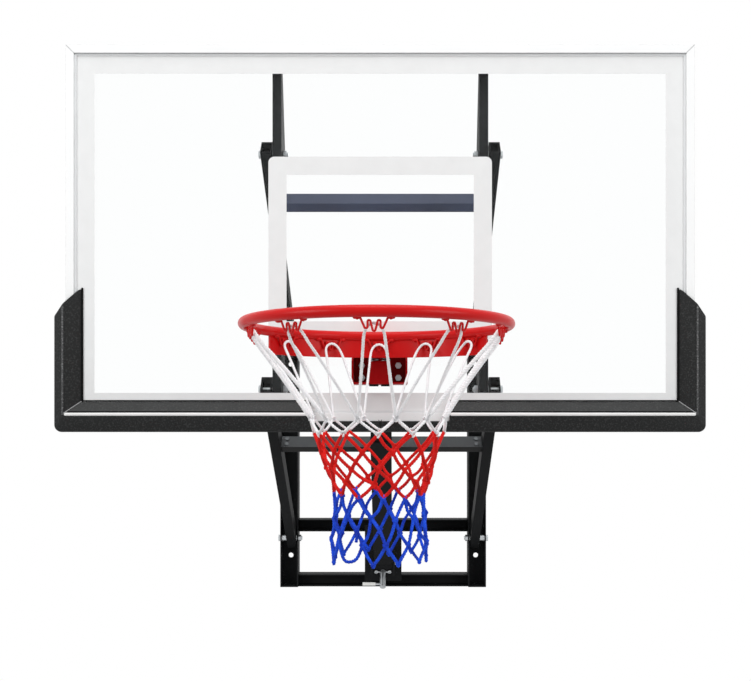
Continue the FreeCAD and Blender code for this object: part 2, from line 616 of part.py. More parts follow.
for side, sign in sides:
    seat = (spot(sign, "spring_half"), spring_y)
    guides.append(join("spring_guide_" + side, [
        rod("spring_guide_%s_shank" % side, "z", "guide_radius",
            (bracket_low, shelf_top + " + guide_tall"), seat),
        rod("spring_guide_%s_head" % side, "z", "2 * guide_radius",
            (bracket_low + " - bracket_plate", bracket_low), seat)]))
node("spring_guides", group("spring_guides", guides))

# Springs between the shelf and the rim plate, each one tube on pairs of arcs per quarter turn
bracket_at = sheet_at - size["bracket_plate"]
shelf_at = base_at + size["bracket_foot"] + size["bracket_plate"]
web_at = base_at + size["ring_rise"] - size["web_drop"] - size["web_thick"]
wire = size["spring_wire"] / 2
coil_low = shelf_at + wire + size["spring_seat"]
coil_high = web_at - wire - size["spring_seat"]
pitch = (coil_high - coil_low) / size["spring_turns"]


def coil_point(turn):
    angle = 2 * math.pi * turn
    return FreeCAD.Vector(size["spring_radius"] * math.cos(angle), size["spring_radius"] * math.sin(angle),
                          coil_low + pitch * turn)


def coil_heading(turn):
    angle = 2 * math.pi * turn
    radius = size["spring_radius"]
    heading = FreeCAD.Vector(-radius * math.sin(angle), radius * math.cos(angle), pitch / (2 * math.pi))
    return heading.normalize()


def arc_from(start, heading, end):
    """The arc that leaves a point in a given direction and ends at another point."""
    chord = end - start
    normal = chord - heading * chord.dot(heading)
    radius = chord.Length ** 2 / (2 * normal.Length)
    centre = start + normal.normalize() * radius
    middle = (start - centre) + (end - centre)
    return Part.Arc(start, centre + middle.normalize() * radius, end).toShape()


def biarc(first, last):
    """Two arcs that share a tangent between two points of the coil."""
    start, end = coil_point(first), coil_point(last)
    leave, arrive = coil_heading(first), coil_heading(last)
    chord = end - start
    both = leave + arrive
    turn = 2 * (1 - leave.dot(arrive))
    reach = (math.sqrt(chord.dot(both) ** 2 + turn * chord.dot(chord)) - chord.dot(both)) / turn
    meet = (start + leave * reach + end - arrive * reach) * 0.5
    back = arc_from(end, arrive * -1, meet)
    return arc_from(start, leave, meet), back


quarters = int(size["spring_turns"] * 4)
coil_edges = []
for step in range(quarters):
    coil_edges += biarc(step / 4, (step + 1) / 4)
coil = tube_along(coil_edges, coil_point(0), coil_heading(0), wire)
near = [coil_point(step / 24) for step in range(int(size["spring_turns"] * 24) + 1)]
least = min((near[i] - near[j]).Length for i in range(len(near)) for j in range(i + 16, len(near)))
print("spring least gap to itself %.2f mm" % (least - size["spring_wire"]))
for side, sign in sides:
    shape = coil.copy()
    shape.translate(FreeCAD.Vector(sign * size["spring_half"], bracket_at - size["spring_out"], 0))
    node("spring_" + side, solid("spring_" + side, shape))

# Rim: ring, plate with its skirt, net hooks
ring = doc.addObject("Part::Torus", "rim_ring")
ring.setExpression("Radius1", bound(ring_radius))
ring.setExpression("Radius2", bound("ring_tube"))
node("rim_ring", place(ring, "0", ring_y, ring_z))
web_body = new_body("rim_web_body")
skirt_out = "(%s + skirt_thick / 2)" % ring_radius
skirt_in = "(%s - skirt_thick / 2)" % ring_radius
wing_x = "(%s * sin(skirt_half_angle))" % skirt_out
wing_y = "(%s + %s * cos(skirt_half_angle))" % (ring_y, skirt_out)
neck_y = "(%s - neck_long)" % hinge_y
pad(web_body, "rim_web", "XY_Plane",
    (("-neck_half + hinge_gap", hinge_y), ("neck_half - hinge_gap", hinge_y),
     ("neck_half - hinge_gap", neck_y), (wing_x, wing_y), ("-" + wing_x, wing_y),
     ("-neck_half + hinge_gap", neck_y)), web_low, "web_thick")
knuckle = rod("rim_knuckle", "x", "knuckle_radius", ("-neck_half + hinge_gap", "neck_half - hinge_gap"),
              (hinge_y, hinge_z))
skirt = doc.addObject("Part::Cylinder", "rim_skirt")
skirt.setExpression("Radius", bound(skirt_out))
skirt.setExpression("Height", bound("skirt_drop"))
skirt.setExpression("Angle", bound("2 * skirt_half_angle"))
skirt.Placement = FreeCAD.Placement(FreeCAD.Vector(), FreeCAD.Rotation(FreeCAD.Vector(0, 0, 1), 30))
skirt.setExpression("Placement.Rotation.Angle", bound("90 - skirt_half_angle"))
place(skirt, "0", ring_y, ring_z + " - skirt_drop")
plate_tools = [
    rod("rim_plate_bore", "z", skirt_in, (ring_z + " - 2 * skirt_drop", ring_z + " + skirt_drop"),
        ("0", ring_y)),
    rod("rim_knuckle_bore", "x", "hinge_radius + run_gap", ("-2 * neck_half", "2 * neck_half"),
        (hinge_y, hinge_z)),
    ring,
]
node("rim_plate", cut("rim_plate", join("rim_plate_blank", [web_body, knuckle, skirt]), plate_tools))

ring_at = FreeCAD.Vector(0, sheet_at - size["ring_clear"] - size["ring_inner"], base_at + size["ring_rise"])
hook_radius = size["ring_inner"] + size["ring_tube"] - size["hook_inset"]


def rounded_path(points, radius):
    """Straight edges with a tangent arc at each inner corner."""
    edges = []
    start = points[0]
    for before, corner, after in zip(points, points[1:], points[2:]):
        into = (before - corner).normalize()
        out = (after - corner).normalize()
        half = math.acos(max(-1.0, min(1.0, into.dot(out)))) / 2
        reach = radius / math.tan(half)
        enter, leave = corner + into * reach, corner + out * reach
        centre = corner + (into + out).normalize() * (radius / math.sin(half))
        middle = centre + (corner - centre).normalize() * radius
        edges.append(Part.LineSegment(start, enter).toShape())
        edges.append(Part.Arc(enter, middle, leave).toShape())
        start = leave
    edges.append(Part.LineSegment(start, points[-1]).toShape())
    return edges


hook_side = (
    (size["hook_half"], size["hook_foot"]), (size["hook_bend_out"], size["hook_fall"]),
    (size["hook_bend_in"], size["hook_fall"]), (size["hook_bend_in"], size["hook_crest"]),
    (size["hook_peak"], size["hook_crest"]), (size["hook_tip"], size["hook_low"]))
hook_shape = [(-out, drop) for out, drop in hook_side] + list(reversed(hook_side))
hook_points = [FreeCAD.Vector(out, -hook_radius, -drop) + ring_at for out, drop in hook_shape]
hook_edges = rounded_path(hook_points, size["hook_corner"])
hook = tube_along(hook_edges, hook_points[0], hook_points[1] - hook_points[0], size["hook_wire"])
net_top_at = hook.BoundBox.ZMin - size["net_seat"]
set_size("net_top_level", net_top_at)
hook_total = int(size["hook_count"])
hooks = []
for step in range(hook_total):
    # the hooks stand a little wider at the front of the ring than by the board
    even = step * 360 / hook_total
    spread = size["hook_spread"] * math.sin(math.radians(even))
    turned = hook.copy()
    turned.rotate(ring_at, FreeCAD.Vector(0, 0, 1), even + spread)
    hooks.append(turned)
node("net_hooks", cut("net_hooks", solid("hook_wires", Part.makeCompound(hooks)), [ring]))

# Net: three coloured bands of a tapering tube, each with its rows of gaps
net_top = "net_top_level"
bands = (
    ("net_white", net_top, "net_white_long", "net_top_radius", "net_white_radius", 2),
    ("net_red", net_top + " - net_white_long", "net_red_long", "net_white_radius", "net_red_radius", 2),
    ("net_blue", net_top + " - net_white_long - net_red_long", "net_blue_long", "net_red_radius",
     "net_tip_radius", 2),
)
band_top = net_top_at
for label, high, long, wide, narrow, tiers in bands:
    shells = []
    for part, less in (("outer", "0"), ("inner", "net_thick")):
        cone = doc.addObject("Part::Cone", "%s_%s" % (label, part))
        cone.setExpression("Radius1", bound("%s - %s" % (narrow, less)))
        cone.setExpression("Radius2", bound("%s - %s" % (wide, less)))
        cone.setExpression("Height", bound(long))
        shells.append(place(cone, "0", ring_y, "%s - %s" % (high, long)))
    tall = size[long] / tiers
    gaps = []
    for row in range(tiers):
        middle = band_top - tall * (row + 0.5)
        share = (row + 0.5) / tiers
        radius = size[wide] + (size[narrow] - size[wide]) * share
        half = math.pi * radius / hook_total - size["net_cord"]
        diamond = [FreeCAD.Vector(0, 0, tall / 2 - size["net_cord"]), FreeCAD.Vector(half, 0, 0),
                   FreeCAD.Vector(0, 0, size["net_cord"] - tall / 2), FreeCAD.Vector(-half, 0, 0)]
        prism = polygon_face([point + FreeCAD.Vector(0, 0, middle) for point in diamond])
        prism = prism.extrude(FreeCAD.Vector(0, -2 * size["net_top_radius"], 0))
        prism.translate(FreeCAD.Vector(0, ring_at.y, 0))
        for step in range(hook_total):
            turned = prism.copy()
            angle = (step + 0.5 * (row % 2)) * 360 / hook_total
            turned.rotate(ring_at, FreeCAD.Vector(0, 0, 1), angle)
            gaps.append(turned)
    wall = cut(label + "_wall", shells[0], [shells[1]])
    node(label, cut(label, wall, [solid(label + "_gaps", Part.makeCompound(gaps))]))
    band_top -= size[long]

# Jack: plate and ears on the wall frame, then the jack drawn along -Y from its foot pin
foot_y = "-foot_out"
foot_z = "(foot_rise - frame_height / 2)"
plate_y = "(-bar_depth - plate_thick)"
node("jack_plate", box("jack_plate", ("-plate_half", "plate_half"), (plate_y, "-bar_depth"),
                       (bottom_high + " - plate_lap", mid_low + " + plate_lap")))
ears = [box("jack_ear_" + side, span(sign, "ear_gap", "ear_gap + ear_thick"),
            (foot_y + " - ear_front", plate_y), (foot_z + " - ear_below", foot_z + " + ear_above"))
        for side, sign in sides]
node("jack_bracket", cut("jack_bracket", group("jack_ear_pair", ears), [
    rod("ear_pin_hole", "x", "pin_radius + run_gap", ("-2 * ear_gap", "2 * ear_gap"), (foot_y, foot_z))]))
headed_pin("jack_foot_pin", "ear_gap + ear_thick", foot_y, foot_z)
run_y = "(arm_length * cos(rest_angle) + pivot_out - foot_out)"
run_z = "(arm_length * sin(rest_angle) - pivot_drop - top_pin_below - foot_rise + frame_height / 2)"
jack_angle = "-atan(%s / %s)" % (run_z, run_y)
jack_long = "sqrt(%s * %s + %s * %s)" % (run_y, run_y, run_z, run_z)


def jack_node(label, item):
    return node(label, place(item, None, foot_y, foot_z, jack_angle))


def square_tube(name, half, wall, span_y):
    outer = box(name + "_outer", ("-(%s)" % half, half), span_y, ("-(%s)" % half, half))
    inner = "(%s - %s)" % (half, wall)
    return outer, box(name + "_hollow", ("-" + inner, inner),
                      ("%s - %s" % (span_y[0], wall), "%s + %s" % (span_y[1], wall)), ("-" + inner, inner))


outer, hollow = square_tube("jack_tube", "tube_half", "tube_wall", ("tube_short - " + jack_long, "0"))
drum_face = rod("jack_drum_face", "x", "drum_radius", ("-2 * drum_half", "2 * drum_half"), ("0", "0"))
jack_node("jack_tube", cut("jack_tube", outer, [hollow, drum_face]))
drum = rod("jack_drum", "x", "drum_radius", ("-drum_half", "drum_half"), ("0", "0"))
jack_node("jack_gearbox", cut("jack_gearbox", drum, [
    rod("drum_pin_hole", "x", "pin_radius + run_gap", ("-2 * drum_half", "2 * drum_half"), ("0", "0")),
    rod("drum_input_hole", "z", "input_radius + run_gap", ("-2 * drum_radius", "-input_start + run_gap"),
        ("0", "0")),
    rod("drum_screw_hole", "y", "screw_thread + run_gap", ("-2 * drum_radius", "-screw_seat / 2"),
        ("0", "0"))]))
rod_half = "(tube_half - tube_wall - slide_gap)"
outer, hollow = square_tube("jack_rod", rod_half, "rod_wall",
                            ("-%s - rod_past" % jack_long, "rod_long - " + jack_long))
pin_slot = rod("jack_rod_slot", "x", "pin_radius + pin_slack", ("-2 * tube_half", "2 * tube_half"),
               ("-" + jack_long, "0"))
jack_node("jack_rod", cut("jack_rod", outer, [hollow, pin_slot]))
nut_half = "(%s - rod_wall)" % rod_half
rod_low = "(rod_long - %s)" % jack_long
nut = box("jack_nut_block", ("-" + nut_half, nut_half), (rod_low + " - screw_seat", rod_low),
          ("-" + nut_half, nut_half))
jack_node("jack_nut", cut("jack_nut", nut, [
    rod("jack_nut_bore", "y", "screw_thread + run_gap", (rod_low + " - 2 * screw_seat", "0"), ("0", "0"))]))
jack_node("jack_screw", group("jack_screw", [
    rod("jack_screw_bar", "y", "screw_thread",
        ("screw_short - " + jack_long, "-screw_seat / 2 - run_gap"), ("0", "0"))]))
eyes = [rod("crank_eye_bar", "x", "eye_wire", ("eye_radius - eye_half", "eye_half - eye_radius"),
            ("0", "-eye_at"))]
for side, sign in sides:
    eye = doc.addObject("Part::Torus", "crank_eye_" + side)
    eye.setExpression("Radius1", bound("eye_radius"))
    eye.setExpression("Radius2", bound("eye_wire"))
    eyes.append(place(eye, spot(sign, "eye_half"), "0", "-eye_at"))
crank_head = join("crank_head", eyes + [
    rod("crank_spigot", "z", "input_radius", ("-sleeve_start", "-input_start"), ("0", "0")),
    rod("crank_sleeve", "z", "sleeve_radius", ("-sleeve_end", "-sleeve_start"), ("0", "0"))])
arm_seat = ("0", "crank_back - sleeve_end")
jack_node("crank_hub", cut("crank_hub", crank_head, [
    rod("crank_bar_hole", "x", "crank_rod + run_gap", ("-crank_reach", "run_gap"), arm_seat)]))
jack_node("crank_arm", group("crank_arm", [
    rod("crank_bar", "x", "crank_rod", ("-crank_reach", "0"), arm_seat)]))
grip_bar = rod("crank_grip_bar", "x", "grip_radius",
               ("-crank_reach - grip_cap", "grip_long - crank_reach"), arm_seat)
grip_bore = rod("crank_grip_bore", "x", "crank_rod + run_gap", ("-crank_reach", "0"), arm_seat)
jack_node("crank_grip", cut("crank_grip", grip_bar, [grip_bore]))

doc.recompute()
for item in doc.Objects:
    if "Invalid" in item.State or "Error" in item.State:
        raise RuntimeError("%s did not build: %s" % (item.Label, item.State))
os.makedirs("parts", exist_ok=True)
for label, item in nodes.items():
    shape = item.Shape
    if shape.isNull() or not shape.isValid() or not shape.Solids:
        raise RuntimeError("%s has no sound solid" % label)
    shape.exportStep("parts/%s.step" % label)
print("%d nodes written" % len(nodes))
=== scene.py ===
import math
import random

import bmesh
import bpy
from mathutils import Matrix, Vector


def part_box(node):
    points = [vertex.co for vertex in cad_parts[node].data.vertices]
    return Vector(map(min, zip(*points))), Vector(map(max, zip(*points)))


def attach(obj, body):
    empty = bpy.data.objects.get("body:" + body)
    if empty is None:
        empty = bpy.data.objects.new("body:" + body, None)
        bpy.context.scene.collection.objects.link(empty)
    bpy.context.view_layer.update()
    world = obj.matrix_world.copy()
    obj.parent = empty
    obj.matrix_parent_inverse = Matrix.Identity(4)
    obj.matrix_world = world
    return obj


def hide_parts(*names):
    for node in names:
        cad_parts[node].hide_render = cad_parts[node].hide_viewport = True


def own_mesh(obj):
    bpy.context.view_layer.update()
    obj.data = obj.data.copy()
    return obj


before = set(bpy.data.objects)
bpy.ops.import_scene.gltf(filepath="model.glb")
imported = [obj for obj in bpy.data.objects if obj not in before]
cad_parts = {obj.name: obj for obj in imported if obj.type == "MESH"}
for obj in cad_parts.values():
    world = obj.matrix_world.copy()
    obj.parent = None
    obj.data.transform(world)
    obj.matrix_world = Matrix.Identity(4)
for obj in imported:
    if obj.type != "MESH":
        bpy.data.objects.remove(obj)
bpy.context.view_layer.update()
mm = 0.001
scene = bpy.context.scene
scene.view_settings.view_transform = "Standard"
print("frame loaded:", len(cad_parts), "nodes")


# small helpers used by every piece

def hexColor(code):
    parts = [int(code[i:i + 2], 16) / 255 for i in (1, 3, 5)]
    linear = [p / 12.92 if p <= 0.04045 else ((p + 0.055) / 1.055) ** 2.4 for p in parts]
    return (*linear, 1.0)


def addNode(tree, kind, inputs=(), **settings):
    # a socket goes by its name, or by its number where a node repeats names:
    # a colour Mix has its share at 0, its two colours at 6 and 7, and its result at output 2
    node = tree.nodes.new(kind)
    for name, value in settings.items():
        setattr(node, name, value)
    for socket, value in dict(inputs).items():
        if isinstance(value, bpy.types.NodeSocket):
            tree.links.new(value, node.inputs[socket])
        else:
            node.inputs[socket].default_value = value
    return node


def newMaterial(name):
    material = bpy.data.materials.new(name)
    material.use_nodes = True
    material.node_tree.nodes.clear()
    return material, material.node_tree


def deselectAll():
    if bpy.context.object and bpy.context.object.mode != "OBJECT":
        bpy.ops.object.mode_set(mode="OBJECT")
    bpy.ops.object.select_all(action="DESELECT")


def activate(piece):
    deselectAll()
    piece.select_set(True)
    bpy.context.view_layer.objects.active = piece


def applyModifiers(piece):
    activate(piece)
    for modifier in list(piece.modifiers):
        bpy.ops.object.modifier_apply(modifier=modifier.name)


def startPiece(name):
    piece = bpy.context.object
    piece.name = name
    piece.data.name = name
    return piece


def finishPiece(piece, material, body, angle=30):
    activate(piece)
    bpy.ops.object.transform_apply(location=True, rotation=True, scale=True)
    bpy.ops.object.mode_set(mode="EDIT")
    bpy.ops.mesh.select_all(action="SELECT")
    bpy.ops.mesh.normals_make_consistent(inside=False)
    bpy.ops.object.mode_set(mode="OBJECT")
    bpy.ops.object.shade_smooth_by_angle(angle=math.radians(angle))
    piece.data.materials.clear()
    piece.data.materials.append(material)
    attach(piece, body)


# materials

powder = {
    "cloud": 90 * mm,  # width of the slow changes of tone
    "peel": 1.8 * mm,
    "peelDepth": 0.25 * mm,
    "peelStrength": 0.18,
    "edge": 1.4 * mm,
    "edgeCosine": (0.99, 0.8),  # of the turn at an edge, from the first rubbing to the most
    "downward": (-0.1, -0.5),  # the normal's height, from no painted shade to full painted shade
    "gloss": (-0.05, 0.06),  # roughness to either side of the one given
    "coatRoughness": 0.12,
}


def powderCoat(name, dark, pale, worn, roughness, wear=0.35, coat=0.0, shine=0.5, under=None, mitre=None):
    # baked powder on metal: fine orange peel, a soft change of tone, edges rubbed paler;
    # a tone given for under is painted shade, laid on the faces that look down;
    # a mitre gives a frame's half width and top, and its seams' half width and tone
    material, tree = newMaterial(name)
    place = addNode(tree, "ShaderNodeTexCoord").outputs["Object"]
    cloud = addNode(tree, "ShaderNodeTexNoise", {
        "Vector": place, "Scale": 1 / powder["cloud"], "Detail": 3.0})
    tone = addNode(tree, "ShaderNodeMix", {
        0: cloud.outputs["Fac"], 6: hexColor(dark), 7: hexColor(pale)}, data_type="RGBA")
    # painted shade: faces that look down take the under tone
    if under:
        facing = addNode(tree, "ShaderNodeTexCoord").outputs["Normal"]
        upward = addNode(tree, "ShaderNodeSeparateXYZ", {0: facing}).outputs["Z"]
        shadeStarts, shadeFull = powder["downward"]
        underShade = addNode(tree, "ShaderNodeMapRange", {"Value": upward, "From Min": shadeStarts, "From Max": shadeFull})
        tone = addNode(tree, "ShaderNodeMix", {
            0: underShade.outputs["Result"], 6: tone.outputs[2], 7: hexColor(under)}, data_type="RGBA")
    if mitre:
        spot = addNode(tree, "ShaderNodeSeparateXYZ", {0: place})
        across = addNode(tree, "ShaderNodeMath", {0: spot.outputs["X"]}, operation="ABSOLUTE")
        slant = addNode(tree, "ShaderNodeMath", {
            0: across.outputs["Value"], 1: spot.outputs["Z"]}, operation="SUBTRACT")
        seam = addNode(tree, "ShaderNodeMath", {
            0: slant.outputs["Value"], 1: mitre["halfWidth"] - mitre["top"],
            2: mitre["halfSeam"] * math.sqrt(2)}, operation="COMPARE")
        tone = addNode(tree, "ShaderNodeMix", {
            0: seam.outputs["Value"], 6: tone.outputs[2], 7: hexColor(mitre["seamTone"])},
            data_type="RGBA")
    soft = addNode(tree, "ShaderNodeBevel", {"Radius": powder["edge"]}, samples=4)
    flat = addNode(tree, "ShaderNodeNewGeometry").outputs["Normal"]
    turn = addNode(tree, "ShaderNodeVectorMath", {0: soft.outputs[0], 1: flat}, operation="DOT_PRODUCT")
    firstRub, mostRub = powder["edgeCosine"]
    edge = addNode(tree, "ShaderNodeMapRange", {
        "Value": turn.outputs["Value"], "From Min": firstRub, "From Max": mostRub, "To Max": wear})
    paledTone = addNode(tree, "ShaderNodeMix", {
        0: edge.outputs["Result"], 6: tone.outputs[2], 7: hexColor(worn)}, data_type="RGBA")
    peel = addNode(tree, "ShaderNodeTexNoise", {
        "Vector": place, "Scale": 1 / powder["peel"], "Detail": 2.0})
    bump = addNode(tree, "ShaderNodeBump", {
        "Height": peel.outputs["Fac"], "Normal": soft.outputs[0], "Strength": powder["peelStrength"],
        "Distance": powder["peelDepth"]})
    smoother, rougher = powder["gloss"]
    gloss = addNode(tree, "ShaderNodeMapRange", {
        "Value": cloud.outputs["Fac"], "To Min": roughness + smoother, "To Max": roughness + rougher})
    shader = addNode(tree, "ShaderNodeBsdfPrincipled", {
        "Base Color": paledTone.outputs[2], "Roughness": gloss.outputs["Result"], "Normal": bump.outputs[0],
        "Coat Weight": coat, "Coat Roughness": powder["coatRoughness"], "Specular IOR Level": shine})
    addNode(tree, "ShaderNodeOutputMaterial", {"Surface": shader.outputs[0]})
    return material


plating = {
    "drawn": 0.8 * mm,  # width of the drawn grain
    "drawnDepth": 0.1 * mm,
    "drawnStrength": 0.12,
    "edge": 0.6 * mm,
    "gloss": (-0.08, 0.1),  # roughness to either side of the one given
}


def platedSteel(name, dark, pale, roughness, spangle=14.0):
    # zinc plate on turned steel: pale grey metal, cloudy in tone, with a faint drawn grain
    material, tree = newMaterial(name)
    place = addNode(tree, "ShaderNodeTexCoord").outputs["Object"]
    cloud = addNode(tree, "ShaderNodeTexNoise", {
        "Vector": place, "Scale": 1 / (spangle * mm), "Detail": 4.0})
    tone = addNode(tree, "ShaderNodeMix", {
        0: cloud.outputs["Fac"], 6: hexColor(dark), 7: hexColor(pale)}, data_type="RGBA")
    drawn = addNode(tree, "ShaderNodeTexNoise", {
        "Vector": place, "Scale": 1 / plating["drawn"], "Detail": 2.0})
    soft = addNode(tree, "ShaderNodeBevel", {"Radius": plating["edge"]}, samples=4)
    bump = addNode(tree, "ShaderNodeBump", {
        "Height": drawn.outputs["Fac"], "Normal": soft.outputs[0], "Strength": plating["drawnStrength"],
        "Distance": plating["drawnDepth"]})
    smoother, rougher = plating["gloss"]
    gloss = addNode(tree, "ShaderNodeMapRange", {
        "Value": cloud.outputs["Fac"], "To Min": roughness + smoother, "To Max": roughness + rougher})
    shader = addNode(tree, "ShaderNodeBsdfPrincipled", {
        "Base Color": tone.outputs[2], "Metallic": 1.0, "Roughness": gloss.outputs["Result"],
        "Normal": bump.outputs[0]})
    addNode(tree, "ShaderNodeOutputMaterial", {"Surface": shader.outputs[0]})
    return material


clearLook = {
    "tint": "#fdfefe",
    "passing": "#f6f9f9",  # what the lamps' light keeps on its way through
    "haze": 120 * mm,
    "gloss": (0.015, 0.035),
    "index": 1.2,
    "shine": 0.15,
}


def clearPolycarbonate():
    # extruded clear sheet: water clear, a thin cool edge, lamps shine straight through it;
    # a low index keeps the white studio's mirror image off the dark posts behind it
    material, tree = newMaterial("polycarbonateExtruded")
    place = addNode(tree, "ShaderNodeTexCoord").outputs["Object"]
    haze = addNode(tree, "ShaderNodeTexNoise", {
        "Vector": place, "Scale": 1 / clearLook["haze"], "Detail": 2.0})
    smoothest, roughest = clearLook["gloss"]
    gloss = addNode(tree, "ShaderNodeMapRange", {
        "Value": haze.outputs["Fac"], "To Min": smoothest, "To Max": roughest})
    shader = addNode(tree, "ShaderNodeBsdfPrincipled", {
        "Base Color": hexColor(clearLook["tint"]), "Roughness": gloss.outputs["Result"],
        "IOR": clearLook["index"], "Transmission Weight": 1.0, "Specular IOR Level": clearLook["shine"]})
    pane = addNode(tree, "ShaderNodeBsdfTransparent", {"Color": hexColor(clearLook["passing"])})
    path = addNode(tree, "ShaderNodeLightPath")
    both = addNode(tree, "ShaderNodeMixShader", {
        0: path.outputs["Is Shadow Ray"], 1: shader.outputs[0], 2: pane.outputs[0]})
    addNode(tree, "ShaderNodeOutputMaterial", {"Surface": both.outputs[0]})
    return material


inkLook = {
    "dark": "#e1e2e2",
    "pale": "#eaebeb",
    "mottle": 35 * mm,
    "grit": 1.2 * mm,
    "gritDepth": 0.05 * mm,
    "gritStrength": 0.06,
    "gloss": (0.42, 0.55),
}


def screenPrint():
    # opaque ink on the clear sheet: pale grey, satin, with the faint mottle of a printed film
    material, tree = newMaterial("screenPrintedInk")
    place = addNode(tree, "ShaderNodeTexCoord").outputs["Object"]
    mottle = addNode(tree, "ShaderNodeTexNoise", {
        "Vector": place, "Scale": 1 / inkLook["mottle"], "Detail": 5.0})
    tone = addNode(tree, "ShaderNodeMix", {
        0: mottle.outputs["Fac"], 6: hexColor(inkLook["dark"]), 7: hexColor(inkLook["pale"])},
        data_type="RGBA")
    grit = addNode(tree, "ShaderNodeTexNoise", {
        "Vector": place, "Scale": 1 / inkLook["grit"], "Detail": 1.0})
    bump = addNode(tree, "ShaderNodeBump", {
        "Height": grit.outputs["Fac"], "Strength": inkLook["gritStrength"],
        "Distance": inkLook["gritDepth"]})
    smoothest, roughest = inkLook["gloss"]
    gloss = addNode(tree, "ShaderNodeMapRange", {
        "Value": mottle.outputs["Fac"], "To Min": smoothest, "To Max": roughest})
    shader = addNode(tree, "ShaderNodeBsdfPrincipled", {
        "Base Color": tone.outputs[2], "Roughness": gloss.outputs["Result"], "Normal": bump.outputs[0]})
    addNode(tree, "ShaderNodeOutputMaterial", {"Surface": shader.outputs[0]})
    return material


skinLook = {
    "cloud": 40 * mm,
    "fleck": 3.5 * mm,
    "fleckLevel": (0.5, 0.66),  # of the noise, where a pale speck begins and where it is full
    "fleckTone": "#a9aaab",
    "poreDepth": 0.4 * mm,
    "gloss": 0.08,  # roughness to either side of the one given
}


def mouldedSkin(name, dark, pale, roughness, pore=2.4, depth=0.35, speckle=0.0, shine=0.5, paintedShadeAbove=None):
    # moulded rubber or foam skin: pebbled grain, dull, with pale specks: rubbed wear where it is handled,
    # and on the side ridge a painted grainy highlight;
    # a skin may take another tone above a given height: painted shade under a lip
    material, tree = newMaterial(name)
    place = addNode(tree, "ShaderNodeTexCoord").outputs["Object"]
    pebble = addNode(tree, "ShaderNodeTexVoronoi", {"Vector": place, "Scale": 1 / (pore * mm)})
    cloud = addNode(tree, "ShaderNodeTexNoise", {
        "Vector": place, "Scale": 1 / skinLook["cloud"], "Detail": 5.0})
    fleck = addNode(tree, "ShaderNodeTexNoise", {
        "Vector": place, "Scale": 1 / skinLook["fleck"], "Detail": 3.0})
    begins, full = skinLook["fleckLevel"]
    spots = addNode(tree, "ShaderNodeMapRange", {
        "Value": fleck.outputs["Fac"], "From Min": begins, "From Max": full, "To Max": speckle})
    tone = addNode(tree, "ShaderNodeMix", {
        0: cloud.outputs["Fac"], 6: hexColor(dark), 7: hexColor(pale)}, data_type="RGBA")
    # painted shade: above the given height the skin takes a darker tone
    if paintedShadeAbove:
        height = addNode(tree, "ShaderNodeSeparateXYZ", {0: place}).outputs["Z"]
        above = addNode(tree, "ShaderNodeMath", {0: height, 1: paintedShadeAbove["above"]}, operation="GREATER_THAN")
        tone = addNode(tree, "ShaderNodeMix", {
            0: above.outputs["Value"], 6: tone.outputs[2], 7: hexColor(paintedShadeAbove["tone"])}, data_type="RGBA")
    paledTone = addNode(tree, "ShaderNodeMix", {
        0: spots.outputs["Result"], 6: tone.outputs[2], 7: hexColor(skinLook["fleckTone"])},
        data_type="RGBA")
    bump = addNode(tree, "ShaderNodeBump", {
        "Height": pebble.outputs["Distance"], "Strength": depth, "Distance": skinLook["poreDepth"]},
        invert=True)
    gloss = addNode(tree, "ShaderNodeMapRange", {
        "Value": cloud.outputs["Fac"], "To Min": roughness - skinLook["gloss"],
        "To Max": roughness + skinLook["gloss"]})
    shader = addNode(tree, "ShaderNodeBsdfPrincipled", {
        "Base Color": paledTone.outputs[2], "Roughness": gloss.outputs["Result"], "Normal": bump.outputs[0],
        "Specular IOR Level": shine})
    addNode(tree, "ShaderNodeOutputMaterial", {"Surface": shader.outputs[0]})
    return material


yarn = {
    "fibre": 0.9 * mm,
    "fibreDepth": 0.2 * mm,
    "fibreStrength": 0.25,
    "cloud": 18 * mm,
    "toneLevel": (0.12, 0.4),  # of the two noises together, from the dark tone to the pale one
    "gloss": (0.6, 0.78),
    "shine": 0.2,
    "soak": 5 * mm,  # how far light spreads inside the yarn
}


def twistedCord(name, dark, pale, glow=0.0):
    # twisted polyester yarn: dull, fine fibres that change tone along the strands;
    # light soaks through the white yarn and glows in its shaded side
    material, tree = newMaterial(name)
    place = addNode(tree, "ShaderNodeTexCoord").outputs["Object"]
    fibre = addNode(tree, "ShaderNodeTexNoise", {
        "Vector": place, "Scale": 1 / yarn["fibre"], "Detail": 3.0})
    cloud = addNode(tree, "ShaderNodeTexNoise", {
        "Vector": place, "Scale": 1 / yarn["cloud"], "Detail": 2.0})
    both = addNode(tree, "ShaderNodeMath", {
        0: fibre.outputs["Fac"], 1: cloud.outputs["Fac"]}, operation="MULTIPLY")
    darkest, palest = yarn["toneLevel"]
    share = addNode(tree, "ShaderNodeMapRange", {
        "Value": both.outputs["Value"], "From Min": darkest, "From Max": palest})
    tone = addNode(tree, "ShaderNodeMix", {
        0: share.outputs["Result"], 6: hexColor(dark), 7: hexColor(pale)}, data_type="RGBA")
    bump = addNode(tree, "ShaderNodeBump", {
        "Height": fibre.outputs["Fac"], "Strength": yarn["fibreStrength"],
        "Distance": yarn["fibreDepth"]})
    smoothest, roughest = yarn["gloss"]
    gloss = addNode(tree, "ShaderNodeMapRange", {
        "Value": cloud.outputs["Fac"], "To Min": smoothest, "To Max": roughest})
    shader = addNode(tree, "ShaderNodeBsdfPrincipled", {
        "Base Color": tone.outputs[2], "Roughness": gloss.outputs["Result"], "Normal": bump.outputs[0],
        "Specular IOR Level": yarn["shine"], "Subsurface Weight": glow, "Subsurface Radius": (1, 1, 1),
        "Subsurface Scale": yarn["soak"]})
    addNode(tree, "ShaderNodeOutputMaterial", {"Surface": shader.outputs[0]})
    return material


